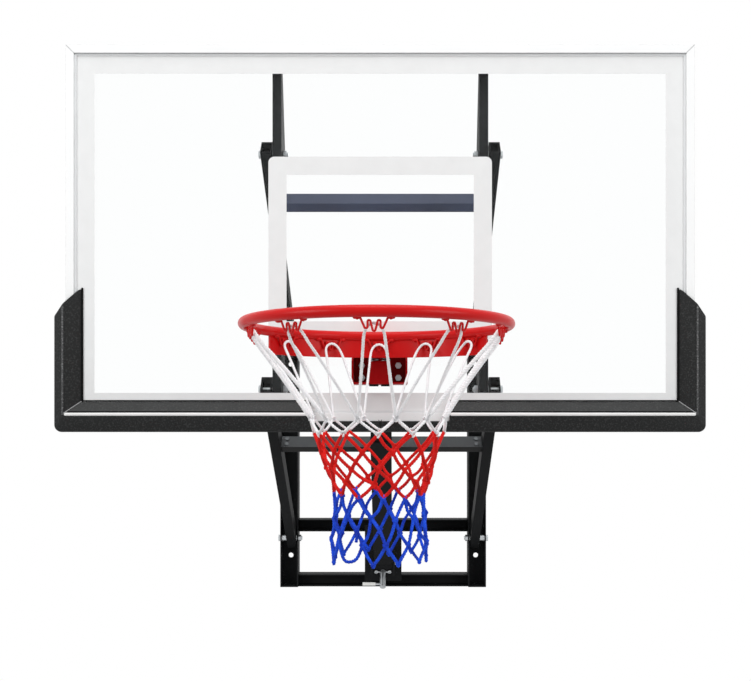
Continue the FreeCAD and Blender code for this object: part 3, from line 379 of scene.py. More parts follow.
boardFrame = {"halfWidth": 692 * mm, "top": 946.984 * mm, "halfSeam": 1.3 * mm, "seamTone": "#cdcece"}
# the gasket's top run is darker above this height: painted shade under the frame's top lip
gasketLipShade = {"tone": "#a6a8a9", "above": 926.6 * mm}

blackCoat = powderCoat("blackPowderCoatedSteel", "#161718", "#202122", "#434547", 0.58, shine=0.06)
slateCoat = powderCoat("slatePaintedSteel", "#363c50", "#444b61", "#7d8598", 0.45, shine=0.2)
# the lower crossbar's underside is painted shade, near black
greyCoat = powderCoat(
    "paintedSteelTubeShadedBelow", "#484a4c", "#636567", "#8f9193", 0.45, wear=0.2, shine=0.2, under="#0c0c0d")
whiteCoat = powderCoat(
    "whitePowderCoatedAluminium", "#eff0f0", "#f7f8f8", "#fbfbfb", 0.4, wear=0.2, mitre=boardFrame)
redCoat = powderCoat(
    "redPowderCoatedSteel", "#c4080a", "#d40e0e", "#e04a40", 0.34, wear=0.12, coat=0.06, shine=0.15)
# the rim bracket takes the rim's red made darker: painted shade for its place under the ring
shadedRedCoat = powderCoat(
    "redPowderCoatedSteelPaintedShade", "#96050a", "#aa080d", "#c23f3b", 0.4, wear=0.15, shine=0.08)
zincPlate = platedSteel("zincPlatedSteel", "#a9adb0", "#cfd2d4", 0.34)
dullZinc = platedSteel("dullZincPlatedSteel", "#5d6062", "#7b7e80", 0.5)
springSteel = platedSteel("zincPlatedSpringWire", "#8e9295", "#bcc0c3", 0.3, spangle=6.0)
clearSheet = clearPolycarbonate()
ink = screenPrint()
gasketRubber = mouldedSkin(
    "extrudedRubberGasket", "#d5d7d8", "#e1e3e4", 0.7, pore=1.0, depth=0.1, paintedShadeAbove=gasketLipShade)
padSkin = mouldedSkin("mouldedFoamPadSkin", "#131414", "#1e1f1f", 0.58, speckle=0.05, shine=0.18)
# a paler pad skin for the bottom run's upward faces: painted light from above
padLitTop = mouldedSkin("foamPadSkinPaintedLight", "#2e2f2f", "#3d3e3e", 0.58, speckle=0.05, shine=0.18)
# near white on the bottom ridge: a painted highlight of the light from above
ridgeHighlight = mouldedSkin("vinylRidgePaintedHighlight", "#e4e4e3", "#f2f2f1", 0.5, pore=1.6, depth=0.15)
# grey with pale specks on the side ridges: a painted grainy highlight
sideRidgeHighlight = mouldedSkin("vinylSideRidgePaintedHighlight", "#2b2c2d", "#3c3d3e", 0.6, pore=1.6, depth=0.2, speckle=0.38)
paleSeam = mouldedSkin("weldedVinylSeam", "#8f9091", "#b4b5b6", 0.6, pore=1.6, depth=0.2)
# near black beads: painted shadow above the bottom ridge and along the pad's inner edge
shadowBead = mouldedSkin("vinylEdgePaintedShadow", "#060606", "#0c0c0c", 0.7, pore=1.6, depth=0.2, shine=0.08)
gripRubber = mouldedSkin("mouldedRubberGrip", "#e0e0dd", "#efefec", 0.6, pore=1.4)
whiteCord = twistedCord("whiteTwistedPolyester", "#f1f1f6", "#fefeff", glow=0.6)
redCord = twistedCord("redTwistedPolyester", "#c40d09", "#ee1c14")
blueCord = twistedCord("blueTwistedPolyester", "#0a259f", "#2262ff")

nodeFinish = {
    blackCoat: ["upright_left", "upright_right", "wall_bar_bottom", "wall_bar_middle", "wall_bar_top",
                "jack_plate", "jack_bracket", "lower_arm_left", "lower_arm_right", "upper_arm_left",
                "upper_arm_right", "post_left", "post_right", "carrier_bar", "jack_lugs", "jack_tube",
                "jack_gearbox", "jack_rod", "spring_guides"],
    slateCoat: ["upper_crossbar"],
    greyCoat: ["lower_crossbar"],
    whiteCoat: ["frame_top", "frame_bottom", "frame_left", "frame_right"],
    redCoat: ["rim_ring", "rim_plate", "net_hooks"],
    shadedRedCoat: ["rim_bracket"],
    zincPlate: ["wall_pivot_bolts", "wall_pivot_nuts", "wall_pivot_spacers", "jack_foot_pin",
                "post_screws", "jack_top_pin", "front_pivot_bolts", "front_pivot_nuts",
                "front_pivot_spacers", "rim_bolts", "rim_nuts", "rim_hinge_pin", "jack_screw",
                "jack_nut", "crank_hub", "crank_arm"],
    dullZinc: ["lower_crossbar_bolts"],
    ink: ["border_stripe", "target_stripe"],
    gasketRubber: ["gasket"],
    gripRubber: ["crank_grip"],
}
for finish, names in nodeFinish.items():
    for name in names:
        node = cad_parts[name]
        node.data.materials.clear()
        node.data.materials.append(finish)
print("finishes set on", sum(len(names) for names in nodeFinish.values()), "CAD nodes")


# the clear sheet: its front lies a hair behind the ink, so that light reaches the print's back

clearPane = {
    "standOff": 0.15 * mm,
    "nearFront": 0.5 * mm,  # a corner this near to the front belongs to it
    "weld": 0.01 * mm,
}


def makePane():
    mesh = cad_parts["board_sheet"].data.copy()
    mesh.name = "clear_pane"
    piece = bpy.data.objects.new("clear_pane", mesh)
    scene.collection.objects.link(piece)
    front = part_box("board_sheet")[0].y
    for vert in mesh.vertices:
        if vert.co.y < front + clearPane["nearFront"]:
            vert.co.y += clearPane["standOff"]
    activate(piece)
    bpy.ops.mesh.customdata_custom_splitnormals_clear()
    bpy.ops.object.mode_set(mode="EDIT")
    bpy.ops.mesh.select_all(action="SELECT")
    bpy.ops.mesh.remove_doubles(threshold=clearPane["weld"])
    bpy.ops.object.mode_set(mode="OBJECT")
    finishPiece(piece, clearSheet, "board")
    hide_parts("board_sheet")
    print("clear pane", len(piece.data.polygons), "faces")


makePane()


# the foam pad round the board's lower edge: one half is lofted, cut for the rim, then mirrored

padMould = {
    "base": 118.984 * mm,
    "profile": [(-35, 44, -600.268), (-1, 15, -627.268), (21, -24, -617.268), (21, -24, -565.268),
                (0, 0, -565.268), (0, 0, -605.268), (-18, 18, -605.268)],  # out, up, along Y, in mm
    "sideTop": 298 * mm,
    "sideSlant": 68 / 56,
    "notchHalf": 152 * mm,
    "notchHeight": 80 * mm,
    "notchDepth": 90 * mm,
    "notchMiddle": -610 * mm,
    "cornerRound": 16 * mm,
    "cornerSegments": 7,
    "edgeRound": 3.5 * mm,
    "edgeSegments": 3,
    "edgeAngle": 28,
    "litUnder": 60 * mm,
    "litFacing": 0.35,
    "near": 0.01 * mm,
}
padInner = min(out for out, up, y in padMould["profile"])
padOuter = max(out for out, up, y in padMould["profile"])
padLowest = min(up for out, up, y in padMould["profile"])


def padRing(stage):
    points = []
    for out, up, y in padMould["profile"]:
        x = boardFrame["halfWidth"] + out * mm
        z = padMould["base"] + up * mm
        if stage == "top":
            z = padMould["base"] + padMould["sideTop"] - padMould["sideSlant"] * (out - padInner) * mm
        if stage == "middle":
            x = 0.0
        points.append(Vector((x, y * mm, z)))
    return points


def setRing(piece, stage):
    mesh = bmesh.from_edit_mesh(piece.data)
    mesh.verts.ensure_lookup_table()
    for vert, point in zip(list(mesh.verts)[-len(padMould["profile"]):], padRing(stage)):
        vert.co = point
    bmesh.update_edit_mesh(piece.data)


def makePadHalf():
    deselectAll()
    bpy.ops.mesh.primitive_circle_add(vertices=len(padMould["profile"]), fill_type="NGON")
    piece = startPiece("edge_pad_right")
    bpy.ops.object.mode_set(mode="EDIT")
    setRing(piece, "top")
    for stage in ("corner", "middle"):
        bpy.ops.mesh.extrude_region_move(TRANSFORM_OT_translate={"value": (0, 0, -0.1)})
        setRing(piece, stage)  # puts the new ring in its place, wherever it was moved to
    bpy.ops.mesh.select_all(action="SELECT")
    bpy.ops.mesh.normals_make_consistent(inside=False)
    bpy.ops.object.mode_set(mode="OBJECT")
    return piece


def cutPadNotch(piece):
    deselectAll()
    bpy.ops.mesh.primitive_cube_add(size=1)
    cutter = startPiece("notch_cutter")
    cutter.scale = (padMould["notchHalf"] * 2, padMould["notchDepth"], padMould["notchHeight"])
    cutter.location = (0, padMould["notchMiddle"], padMould["base"] + padMould["notchHeight"] / 2)
    activate(piece)
    boolean = piece.modifiers.new("notch", "BOOLEAN")
    boolean.operation = "DIFFERENCE"
    boolean.object = cutter
    applyModifiers(piece)
    bpy.data.objects.remove(cutter)


def roundPad(piece):
    activate(piece)
    bpy.ops.object.mode_set(mode="EDIT")
    bpy.ops.mesh.select_all(action="DESELECT")
    bpy.ops.mesh.select_mode(type="EDGE")
    mesh = bmesh.from_edit_mesh(piece.data)
    farX = boardFrame["halfWidth"] + padOuter * mm
    lowZ = padMould["base"] + padLowest * mm
    near = padMould["near"]
    for edge in mesh.edges:
        if all(abs(v.co.x - farX) < near and abs(v.co.z - lowZ) < near for v in edge.verts):
            edge.select_set(True)
    bmesh.update_edit_mesh(piece.data)
    bpy.ops.mesh.bevel(
        offset=padMould["cornerRound"], segments=padMould["cornerSegments"], affect="EDGES")
    bpy.ops.object.mode_set(mode="OBJECT")
    bevel = piece.modifiers.new("edges", "BEVEL")
    bevel.width = padMould["edgeRound"]
    bevel.segments = padMould["edgeSegments"]
    bevel.limit_method = "ANGLE"
    bevel.angle_limit = math.radians(padMould["edgeAngle"])
    applyModifiers(piece)


padRight = makePadHalf()
cutPadNotch(padRight)
roundPad(padRight)
padLeft = padRight.copy()
padLeft.data = padRight.data.copy()
padLeft.name = padLeft.data.name = "edge_pad_left"
scene.collection.objects.link(padLeft)
padLeft.scale.x = -1
for piece, node in ((padRight, "pad_right"), (padLeft, "pad_left")):
    finishPiece(piece, padSkin, "board", angle=24)
    piece.data.materials.append(padLitTop)
    for face in piece.data.polygons:
        # the run under the board is paler on its upper face: painted light from above
        facesUp = face.normal.z > padMould["litFacing"]
        if facesUp and face.center.z < padMould["base"] + padMould["litUnder"]:
            face.material_index = 1
    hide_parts(node)
print("pad halves:", len(padRight.data.polygons), "faces each")

padTrim = {
    # out, up and along Y in mm of each line of trim, as in the mould's profile
    "ridge": (-1, 15, -625.768), "ridgeShadow": (-5.5, 19.5, -622.2), "tip": (-35.5, 44.5, -601.3),
    "seam": (-4, 17.6, -626.8),
    "notchGap": 4,
    "bendGap": 7,
    "topGap": 7,
    # piece, line, ends, radius in mm, material
    "runs": [("ridge_bottom", "ridge", ("notch", "bend"), 3.6, ridgeHighlight),
             ("ridge_side", "ridge", ("corner", "top"), 2.0, sideRidgeHighlight),
             # the groove and lip beads are painted shadow lines
             ("ridge_shadow_bottom", "ridgeShadow", ("notch", "bend"), 2.2, shadowBead),
             ("lip_shadow_bottom", "tip", ("notch", "corner"), 1.8, shadowBead),
             ("lip_shadow_side", "tip", ("corner", "top"), 2.4, shadowBead)],
    "seamRadius": 0.9,
    "segments": 14,
    "rings": 12,
}


def trimPoint(side, line, end):
    out, up, y = padTrim[line]
    x = boardFrame["halfWidth"] / mm + out
    z = padMould["base"] / mm + up
    if end == "notch":
        x = padMould["notchHalf"] / mm + padTrim["notchGap"]
    if end == "bend":
        x -= padTrim["bendGap"]
    if end == "top":
        slant = padMould["sideSlant"] * (out - padInner)
        z = (padMould["base"] + padMould["sideTop"]) / mm - slant - padTrim["topGap"]
    return Vector((side * x, y, z)) * mm


def makeBead(name, start, end, radius, material):
    length = (end - start).length
    deselectAll()
    bpy.ops.mesh.primitive_uv_sphere_add(
        segments=padTrim["segments"], ring_count=padTrim["rings"], radius=radius)
    piece = startPiece(name)
    bpy.ops.object.mode_set(mode="EDIT")
    mesh = bmesh.from_edit_mesh(piece.data)
    for vert in mesh.verts:
        # the ball's upper half goes to the far end, above its middle ring
        if vert.co.z > 0.001 * mm:
            vert.co.z += length
    bmesh.update_edit_mesh(piece.data)
    bpy.ops.object.mode_set(mode="OBJECT")
    piece.rotation_mode = "QUATERNION"
    piece.rotation_quaternion = (end - start).to_track_quat("Z", "Y")
    piece.location = start
    finishPiece(piece, material, "board", angle=60)


for side, label in ((1, "right"), (-1, "left")):
    for name, line, ends, radius, material in padTrim["runs"]:
        start, end = [trimPoint(side, line, key) for key in ends]
        makeBead(name + "_" + label, start, end, radius * mm, material)
    mitre = [trimPoint(side, line, "corner") for line in ("tip", "seam")]
    makeBead("mitre_seam_" + label, *mitre, padTrim["seamRadius"] * mm, paleSeam)
print("pad trim made")


# the two return springs under the rim's plate

springCoil = {"wire": 1.6 * mm, "turns": 10, "wireSides": 10, "stepsPerTurn": 28, "keep": 0.825}


def makeSpring(node):
    low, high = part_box(node)
    center = (low + high) / 2
    wire = springCoil["wire"]
    coil = (high.x - low.x) / 2 - wire
    rise = high.z - low.z - 2 * wire
    deselectAll()
    bpy.ops.mesh.primitive_circle_add(vertices=springCoil["wireSides"], radius=wire)
    piece = startPiece(node.replace("spring", "return_spring"))
    bpy.ops.object.mode_set(mode="EDIT")
    mesh = bmesh.from_edit_mesh(piece.data)
    for vert in mesh.verts:
        vert.co = Vector((coil + vert.co.x, 0, wire + vert.co.y))
    bmesh.update_edit_mesh(piece.data)
    bpy.ops.object.mode_set(mode="OBJECT")
    screw = piece.modifiers.new("coil", "SCREW")
    screw.axis = "Z"
    screw.angle = math.radians(360)
    screw.screw_offset = rise / springCoil["turns"]
    screw.iterations = springCoil["turns"]
    screw.steps = screw.render_steps = springCoil["stepsPerTurn"]
    screw.use_merge_vertices = False
    applyModifiers(piece)
    bpy.ops.object.mode_set(mode="EDIT")
    bpy.ops.mesh.select_all(action="DESELECT")
    bpy.ops.mesh.select_non_manifold()
    bpy.ops.mesh.edge_face_add()
    bpy.ops.object.mode_set(mode="OBJECT")
    piece.location = (center.x, center.y, low.z)
    finishPiece(piece, springSteel, "board", angle=50)
    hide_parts(node)
    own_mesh(piece)


for node in ("spring_left", "spring_right"):
    makeSpring(node)
print("springs wound")


# weld lumps where the hooks' feet meet the underside of the ring

ringHooks = {
    "count": 12,
    "center": (0, -975.268),  # the ring's middle along X and Y, in mm
    "spread": 10,  # degrees that a side hook stands further back than it would in even steps
}
hookStep = 360 / ringHooks["count"]


def hookTurn(hook):
    # degrees round the ring from its front; the hooks stand a little wider there than by the board
    even = hookStep * hook
    return even + ringHooks["spread"] * math.sin(math.radians(even))


def ringAxes(angle):
    # outward and along the ring, at so many degrees round from its front
    turn = math.radians(angle)
    out = Vector((math.sin(turn), -math.cos(turn), 0))
    along = Vector((math.cos(turn), math.sin(turn), 0))
    return out, along


hookWeld = {
    # lengths in mm
    "size": (7, 4.5, 4),  # half length along the ring, half width, half height
    "across": 26,  # from the hook's middle to each foot
    "radius": 229,
    "height": 285.5,
    "beadDepth": 0.12,
    "beadTurn": 9,  # of the wave that makes the beads, in radians over half a lump
    "ripple": 0.5,
    "segments": 12,
    "rings": 8,
    "seed": 7,
}


def makeHookWelds():
    weldRand = random.Random(hookWeld["seed"])
    lumps = []
    for hook in range(ringHooks["count"]):
        angle = hookTurn(hook)
        out, along = ringAxes(angle)
        for side in (-1, 1):
            deselectAll()
            bpy.ops.mesh.primitive_uv_sphere_add(
                segments=hookWeld["segments"], ring_count=hookWeld["rings"], radius=1)
            lump = startPiece("hook_weld")
            bpy.ops.object.mode_set(mode="EDIT")
            mesh = bmesh.from_edit_mesh(lump.data)
            for vert in mesh.verts:
                bead = 1 + hookWeld["beadDepth"] * math.cos(hookWeld["beadTurn"] * vert.co.x)
                vert.co.y *= bead
                vert.co.z *= bead
                vert.co = Vector([c * s * mm for c, s in zip(vert.co, hookWeld["size"])])
                vert.co += Vector([weldRand.uniform(-1, 1) for _ in range(3)]) * hookWeld["ripple"] * mm
            bmesh.update_edit_mesh(lump.data)
            bpy.ops.object.mode_set(mode="OBJECT")
            lump.rotation_euler = (0, 0, math.radians(angle))
            middle = Vector((*ringHooks["center"], hookWeld["height"]))
            lump.location = (middle + out * hookWeld["radius"] + along * side * hookWeld["across"]) * mm
            lumps.append(lump)
    deselectAll()
    for lump in lumps:
        lump.select_set(True)
    bpy.context.view_layer.objects.active = lumps[0]
    bpy.ops.object.join()
    finishPiece(startPiece("hook_welds"), redCoat, "rim", angle=60)


makeHookWelds()
print("hook welds made")


# the net: twelve loops on the hooks, then rows of knots, white over red over blue

netCord = {
    # lengths in mm
    "radius": 2.6,
    "lobes": 3,  # strands of the twist
    "lobeDepth": 0.13,
    "sides": 9,
    "pitch": 16.0,
    "step": 2.6,
    "bow": {"net_loops": 1.4, "net_red_mesh": 1.8, "net_blue_mesh": 3.2},
    "bowDrop": 0.5,
    "thickness": {"net_loops": 0.95, "net_red_mesh": 1.12, "net_blue_mesh": 1.08},
    "knotSize": 1.35,
    "knotTall": 1.15,
    "knotThickness": 0.8,
    "knotSteps": 16,
    "seed": 12,
    # name, height, radius, turned by half a step or not, twist in degrees, loose play
    "rows": [("white1", 129, 121, 1, 0, 1.5), ("red0", 104, 116, 0, 0, 1.5), ("red1", 73, 105, 1, 0, 2),
             ("red2", 44, 94, 0, 0, 2.5), ("red3", 18, 85, 1, 2, 3), ("blue0", -6, 80, 0, 5, 3.5),
             ("blue1", -43, 82, 1, 4, 5), ("blue2", -84, 85, 0, 4, 5)],
    "turnPlay": 0.6,  # degrees of turn for each mm of play
    "tip": (-121, 83, 6),  # height, radius, loose play
    "tipTurn": 3,
    "tipBow": 1.2,
    "tipKnot": 0.75,
    "lean": (250, 330, 7),  # the net hangs to the right: from a height, over a fall, by at most
    # row, column: turned by degrees, lowered by mm, where the photograph shows the net hanging unevenly
    "nudges": {("red3", 11): (8, 0), ("red2", 1): (-4, 0), ("blue2", 11): (6, 2), ("blue2", 10): (4, -14)},
}
netRand = random.Random(netCord["seed"])


def netPoint(angle, radius, height, across=0.0):
    out, along = ringAxes(angle)
    top, fall, most = netCord["lean"]
    lean = most * min(max((top - height) / fall, 0), 1)
    place = Vector((ringHooks["center"][0] + lean, ringHooks["center"][1], height))
    return (place + out * radius + along * across) * mm


def smoothPath(points):
    # a smooth line through the points, in short steps
    step = netCord["step"] * mm
    path = []
    padded = [points[0] * 2 - points[1]] + list(points) + [points[-1] * 2 - points[-2]]
    for i in range(1, len(padded) - 2):
        a, b, c, d = padded[i - 1:i + 3]
        count = max(2, round((c - b).length / step))
        for k in range(count):
            t = k / count
            path.append(0.5 * (2 * b + (c - a) * t + (2 * a - 5 * b + 4 * c - d) * t * t
                               + (3 * b - a - 3 * c + d) * t ** 3))
    path.append(points[-1].copy())
    return path


def addStrand(curve, path, closed=False, thickness=1.0):
    thickness *= netCord["thickness"][curve.name]
    spline = curve.splines.new("POLY")
    spline.points.add(len(path) - 1)
    run = 0.0
    for i, (point, place) in enumerate(zip(spline.points, path)):
        run += (place - path[i - 1]).length if i else 0.0
        point.co = (*place, 1.0)
        point.tilt = 0.0 if closed else 2 * math.pi * run / (netCord["pitch"] * mm)
        point.radius = thickness
    spline.use_cyclic_u = closed
    spline.use_smooth = True


def addKnot(curve, place, angle, size=1.0):
    # a trefoil, as an overhand knot pulled together makes
    out, along = ringAxes(angle)
    up = Vector((0, 0, netCord["knotTall"]))
    spin = netRand.uniform(0, 2 * math.pi)
    scale = netCord["knotSize"] * size * mm
    path = []
    for i in range(netCord["knotSteps"]):
        t = 2 * math.pi * i / netCord["knotSteps"] + spin
        x = math.sin(t) + 2 * math.sin(2 * t)
        y = math.cos(t) - 2 * math.cos(2 * t)
        path.append(place + (along * x + up * y - out * math.sin(3 * t)) * scale)
    addStrand(curve, path, closed=True, thickness=netCord["knotThickness"])


def makeKnotPlaces():
    places = {}
    for name, height, radius, half, twist, play in netCord["rows"]:
        for column in range(ringHooks["count"]):
            turned, lowered = netCord["nudges"].get((name, column), (0, 0))
            angle = hookStep * (column + half / 2) + twist + turned
            angle += netRand.uniform(-1, 1) * play * netCord["turnPlay"]
            wide = radius + netRand.uniform(-1, 1) * play
            places[name, column] = (angle, wide, height - lowered + netRand.uniform(-1, 1) * play)
    return places


def slack(first, second, bow):
    # a short length between two knots, eased sideways a little as loose yarn is
    a, b = netPoint(*first), netPoint(*second)
    middle = (a + b) / 2 + Vector([netRand.uniform(-1, 1) * bow * mm for _ in range(3)])
    middle.z -= bow * mm * netCord["bowDrop"]
    return smoothPath([a, middle, b])


def newNetCurve(name):
    curve = bpy.data.curves.new(name, "CURVE")
    curve.dimensions = "3D"
    curve.use_fill_caps = True
    return curve


def makeCordProfile():
    profile = bpy.data.curves.new("cord_profile", "CURVE")
    spline = profile.splines.new("POLY")
    spline.points.add(netCord["sides"] - 1)
    for i, point in enumerate(spline.points):
        t = 2 * math.pi * i / netCord["sides"]
        r = netCord["radius"] * (1 + netCord["lobeDepth"] * math.cos(netCord["lobes"] * t)) * mm
        point.co = (r * math.cos(t), r * math.sin(t), 0, 1)
    spline.use_cyclic_u = True
    shape = bpy.data.objects.new("cord_profile", profile)
    scene.collection.objects.link(shape)
    return shape


def finishNet(curve, profile, material, node):
    curve.bevel_mode = "OBJECT"
    curve.bevel_object = profile
    piece = bpy.data.objects.new(curve.name, curve)
    scene.collection.objects.link(piece)
    activate(piece)
    bpy.ops.object.convert(target="MESH")
    piece = bpy.context.object
    finishPiece(piece, material, "rim", angle=70)
    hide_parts(node)
    print(piece.name, len(piece.data.polygons), "faces")


def nextRound(first, second):
    # the second knot, with its turn counted on from the first's, without a jump at the full turn
    angle = second[0]
    while angle - first[0] > 180:
        angle -= 360
    while first[0] - angle > 180:
        angle += 360
    return (angle, second[1], second[2])


knots = makeKnotPlaces()
whiteNet, redNet, blueNet = [newNetCurve(name) for name in ("net_loops", "net_red_mesh", "net_blue_mesh")]
columns = ringHooks["count"]

hookLoop = {
    # across, radius, height of half the loop over one hook, from the top out and down
    "half": [(0, 222.6, 276.5), (5, 222.4, 275.6), (10, 221.8, 272), (13.8, 219, 266.5), (16, 213.5, 259),
             (17.2, 206.5, 250)],
    "sagIn": 3.0,
    "sagShare": (0.3, 1.2),  # the least and the most of that sag
    "shares": (0.06, 0.2, 0.5, 0.8),  # of the way from the hook to the knot
    "sideTurn": 65,  # a hook further than this from the front and the back is at the side
    "sideThickness": 1.45,  # the cord lies slack and wide on the hooks at each side
}
for column in range(columns):
    angle = hookTurn(column)
    strand = [netPoint(angle, r, z, -x) for x, r, z in reversed(hookLoop["half"])]
    strand += [netPoint(angle, r, z, x) for x, r, z in hookLoop["half"][1:]]
    ends = [knots["white1", (column - 1) % columns], knots["white1", column]]
    for end, first in zip(ends, (True, False)):
        near = strand[0] if first else strand[-1]
        knot = netPoint(*end)
        inward = (netPoint(angle, 0, near.z / mm) - near).normalized()
        sag = hookLoop["sagIn"] * netRand.uniform(*hookLoop["sagShare"]) * mm
        fall = []
        for share in hookLoop["shares"]:
            # the sag is all there half way down
            fall.append(near.lerp(knot, share) + inward * sag * 4 * share * (1 - share))
        fall.append(knot)
        strand = fall[::-1] + strand if first else strand + fall
    atSide = abs(math.sin(math.radians(angle))) > math.sin(math.radians(hookLoop["sideTurn"]))
    addStrand(whiteNet, smoothPath(strand), thickness=hookLoop["sideThickness"] if atSide else 1.0)

rowNames = [row[0] for row in netCord["rows"]]
halfTurns = {row[0]: row[3] for row in netCord["rows"]}
# the net that the strands down to a row belong to
rowCurves = {"red0": whiteNet, "red1": redNet, "red2": redNet, "red3": redNet, "blue0": redNet,
             "blue1": blueNet, "blue2": blueNet}
for upper, lower in zip(rowNames, rowNames[1:]):
    for column in range(columns):
        first = knots[upper, column]
        others = (column, column + 1) if halfTurns[upper] else (column - 1, column)
        for other in others:
            second = nextRound(first, knots[lower, other % columns])
            addStrand(rowCurves[lower], slack(first, second, netCord["bow"][rowCurves[lower].name]))

tipHeight, tipRadius, tipPlay = netCord["tip"]
looseLoop = {
    "column": 10,
    # where the turn is counted from, degrees, radius, fall below the first knot
    "ring": [("first", -3, 88, 14), ("first", 6, 89, 41), ("middle", 0, 89, 46), ("second", -6, 88, 39)],
    "stray": [(-27, 86, -53), (-28, 88, -63), (-26, 89, -71), (-27, 90, -80)],  # degrees, radius, height
}
for column in range(columns):
    first = knots["blue2", column]
    second = nextRound(first, knots["blue2", (column + 1) % columns])
    middle = (first[0] + second[0]) / 2 + netRand.uniform(-netCord["tipTurn"], netCord["tipTurn"])
    wide = tipRadius + netRand.uniform(-1, 1) * tipPlay
    tip = (middle, wide, tipHeight + netRand.uniform(-1, 1) * tipPlay)
    if column == looseLoop["column"]:
        turns = {"first": first[0], "middle": middle, "second": second[0]}
        ring = [first]
        for origin, turn, radius, fall in looseLoop["ring"]:
            ring.append((turns[origin] + turn, radius, first[2] - fall))
        ring.append(second)
        addStrand(blueNet, smoothPath([netPoint(*p) for p in ring]))
    else:
        for end in (first, second):
            addStrand(blueNet, slack(end, tip, netCord["tipBow"]))
        addKnot(blueNet, netPoint(*tip), tip[0], size=netCord["tipKnot"])
addStrand(blueNet, smoothPath([netPoint(*p) for p in looseLoop["stray"]]))

# the net that a row's knots belong to
knotCurves = {"white1": whiteNet, "red0": whiteNet, "red1": redNet, "red2": redNet, "red3": redNet,
              "blue0": blueNet, "blue1": blueNet, "blue2": blueNet}
for (row, column), place in knots.items():
    addKnot(knotCurves[row], netPoint(*place), place[0])

cordProfile = makeCordProfile()
finishNet(whiteNet, cordProfile, whiteCord, "net_white")
finishNet(redNet, cordProfile, redCord, "net_red")
finishNet(blueNet, cordProfile, blueCord, "net_blue")
bpy.data.objects.remove(cordProfile)


# stage, lamps and camera

stageSet = {
    "floorRadius": 1.5, "floorCenter": (0, -0.45), "floorHeight": -1.1, "floorSides": 96,
    # shares of the floor's radius: the inset ring's width, where the tone starts to fade, where it is gone
    "floorInset": 0.4, "fadeFrom": 0.55, "fadeTo": 0.98,
    "paper": "#f4f4f4",
    # the room's light from below and from above, and the height at which each is full
    "domeBelow": 0.3, "domeAbove": 0.5, "domeHeight": 0.4,
    # place, aim, size, watts
    "lamps": {
        "top_softbox": ((0.0, -1.6, 2.9), (0, -0.7, 0.3), 2.2, 41),
        "left_softbox": ((-2.6, -2.9, 0.9), (0, -0.6, 0.3), 2.0, 41),
        "right_softbox": ((2.6, -2.9, 0.8), (0, -0.6, 0.3), 2.0, 37),
        "back_softbox": ((0.6, 2.2, 2.0), (0, -0.3, 0.3), 2.0, 20),
    },
}


def makeFloor():
    deselectAll()
    bpy.ops.mesh.primitive_circle_add(
        vertices=stageSet["floorSides"], radius=stageSet["floorRadius"], fill_type="NGON")
    floor = startPiece("studio_floor")
    floor.location = (*stageSet["floorCenter"], stageSet["floorHeight"])
    bpy.ops.object.mode_set(mode="EDIT")
    bpy.ops.mesh.inset(thickness=stageSet["floorRadius"] * stageSet["floorInset"])
    bpy.ops.object.mode_set(mode="OBJECT")
    # matt white paper sweep: a faint tone that fades out to the background at its rim
    material, tree = newMaterial("matPaperSweep")
    place = addNode(tree, "ShaderNodeTexCoord").outputs["Object"]
    far = addNode(tree, "ShaderNodeVectorMath", {0: place}, operation="LENGTH")
    fade = addNode(tree, "ShaderNodeMapRange", {
        "Value": far.outputs["Value"], "From Min": stageSet["floorRadius"] * stageSet["fadeFrom"],
        "From Max": stageSet["floorRadius"] * stageSet["fadeTo"]}, interpolation_type="SMOOTHSTEP")
    paper = addNode(tree, "ShaderNodeBsdfDiffuse", {"Color": hexColor(stageSet["paper"])})
    clear = addNode(tree, "ShaderNodeBsdfTransparent")
    both = addNode(tree, "ShaderNodeMixShader", {
        0: fade.outputs["Result"], 1: paper.outputs[0], 2: clear.outputs[0]})
    addNode(tree, "ShaderNodeOutputMaterial", {"Surface": both.outputs[0]})
    floor.data.materials.append(material)


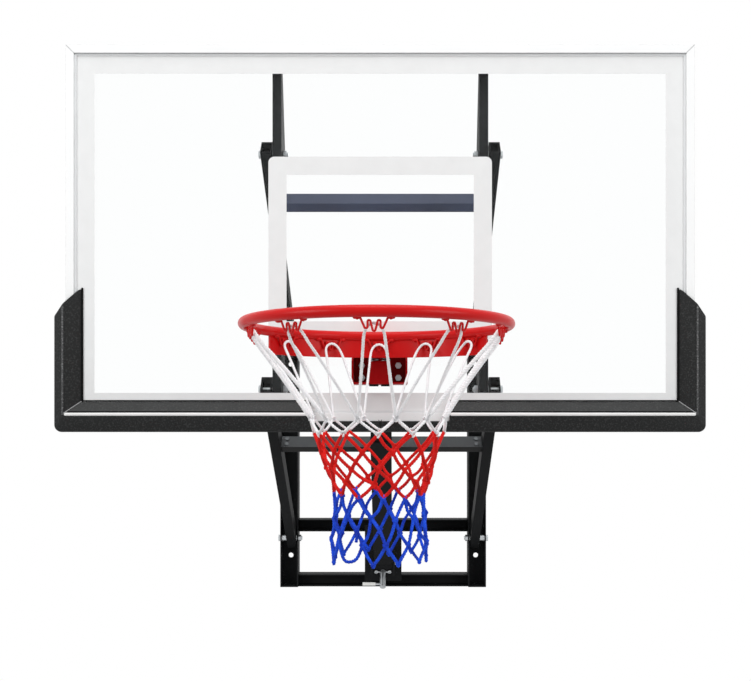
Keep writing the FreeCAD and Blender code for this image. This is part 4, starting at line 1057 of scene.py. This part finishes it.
def makeWorld():
    world = bpy.data.worlds.new("studio")
    scene.world = world
    world.use_nodes = True
    tree = world.node_tree
    tree.nodes.clear()
    path = addNode(tree, "ShaderNodeLightPath")
    seen = addNode(tree, "ShaderNodeMath", {
        0: path.outputs["Is Camera Ray"], 1: path.outputs["Is Glossy Ray"]}, operation="MAXIMUM")
    shown = addNode(tree, "ShaderNodeMath", {
        0: seen.outputs[0], 1: path.outputs["Is Transmission Ray"]}, operation="MAXIMUM")
    # the room is darker under the horizon, so undersides stay in shade
    toward = addNode(tree, "ShaderNodeTexCoord").outputs["Generated"]
    height = addNode(tree, "ShaderNodeSeparateXYZ", {0: toward}).outputs["Z"]
    dome = addNode(tree, "ShaderNodeMapRange", {
        "Value": height, "From Min": -stageSet["domeHeight"], "From Max": stageSet["domeHeight"],
        "To Min": stageSet["domeBelow"], "To Max": stageSet["domeAbove"]})
    strength = addNode(tree, "ShaderNodeMapRange", {
        "Value": shown.outputs[0], "To Min": dome.outputs["Result"], "To Max": 1.0})
    light = addNode(tree, "ShaderNodeBackground", {
        "Color": (1, 1, 1, 1), "Strength": strength.outputs["Result"]})
    addNode(tree, "ShaderNodeOutputWorld", {"Surface": light.outputs[0]})


def makeLamps():
    for name, (place, aim, size, watts) in stageSet["lamps"].items():
        deselectAll()
        bpy.ops.object.light_add(type="AREA", location=place)
        lamp = bpy.context.object
        lamp.name = name
        lamp.data.shape = "DISK"
        lamp.data.size = size
        lamp.data.energy = watts
        lamp.visible_transmission = False  # not seen through the clear sheet
        lamp.rotation_euler = (Vector(aim) - Vector(place)).to_track_quat("-Z", "Y").to_euler()


photoView = {"place": (0.03, -2.5453, 0.1445), "lens": 42.29, "sensor": 36, "shift": (-0.0243, 0.0918)}


def makeCamera():
    deselectAll()
    level = (math.radians(90), 0, 0)
    bpy.ops.object.camera_add(location=photoView["place"], rotation=level)
    camera = bpy.context.object
    camera.data.sensor_width = photoView["sensor"]
    camera.data.sensor_fit = "HORIZONTAL"
    camera.data.lens = photoView["lens"]
    camera.data.shift_x, camera.data.shift_y = photoView["shift"]
    scene.camera = camera


makeFloor()
makeWorld()
makeLamps()
makeCamera()
print("stage, lamps and camera set")
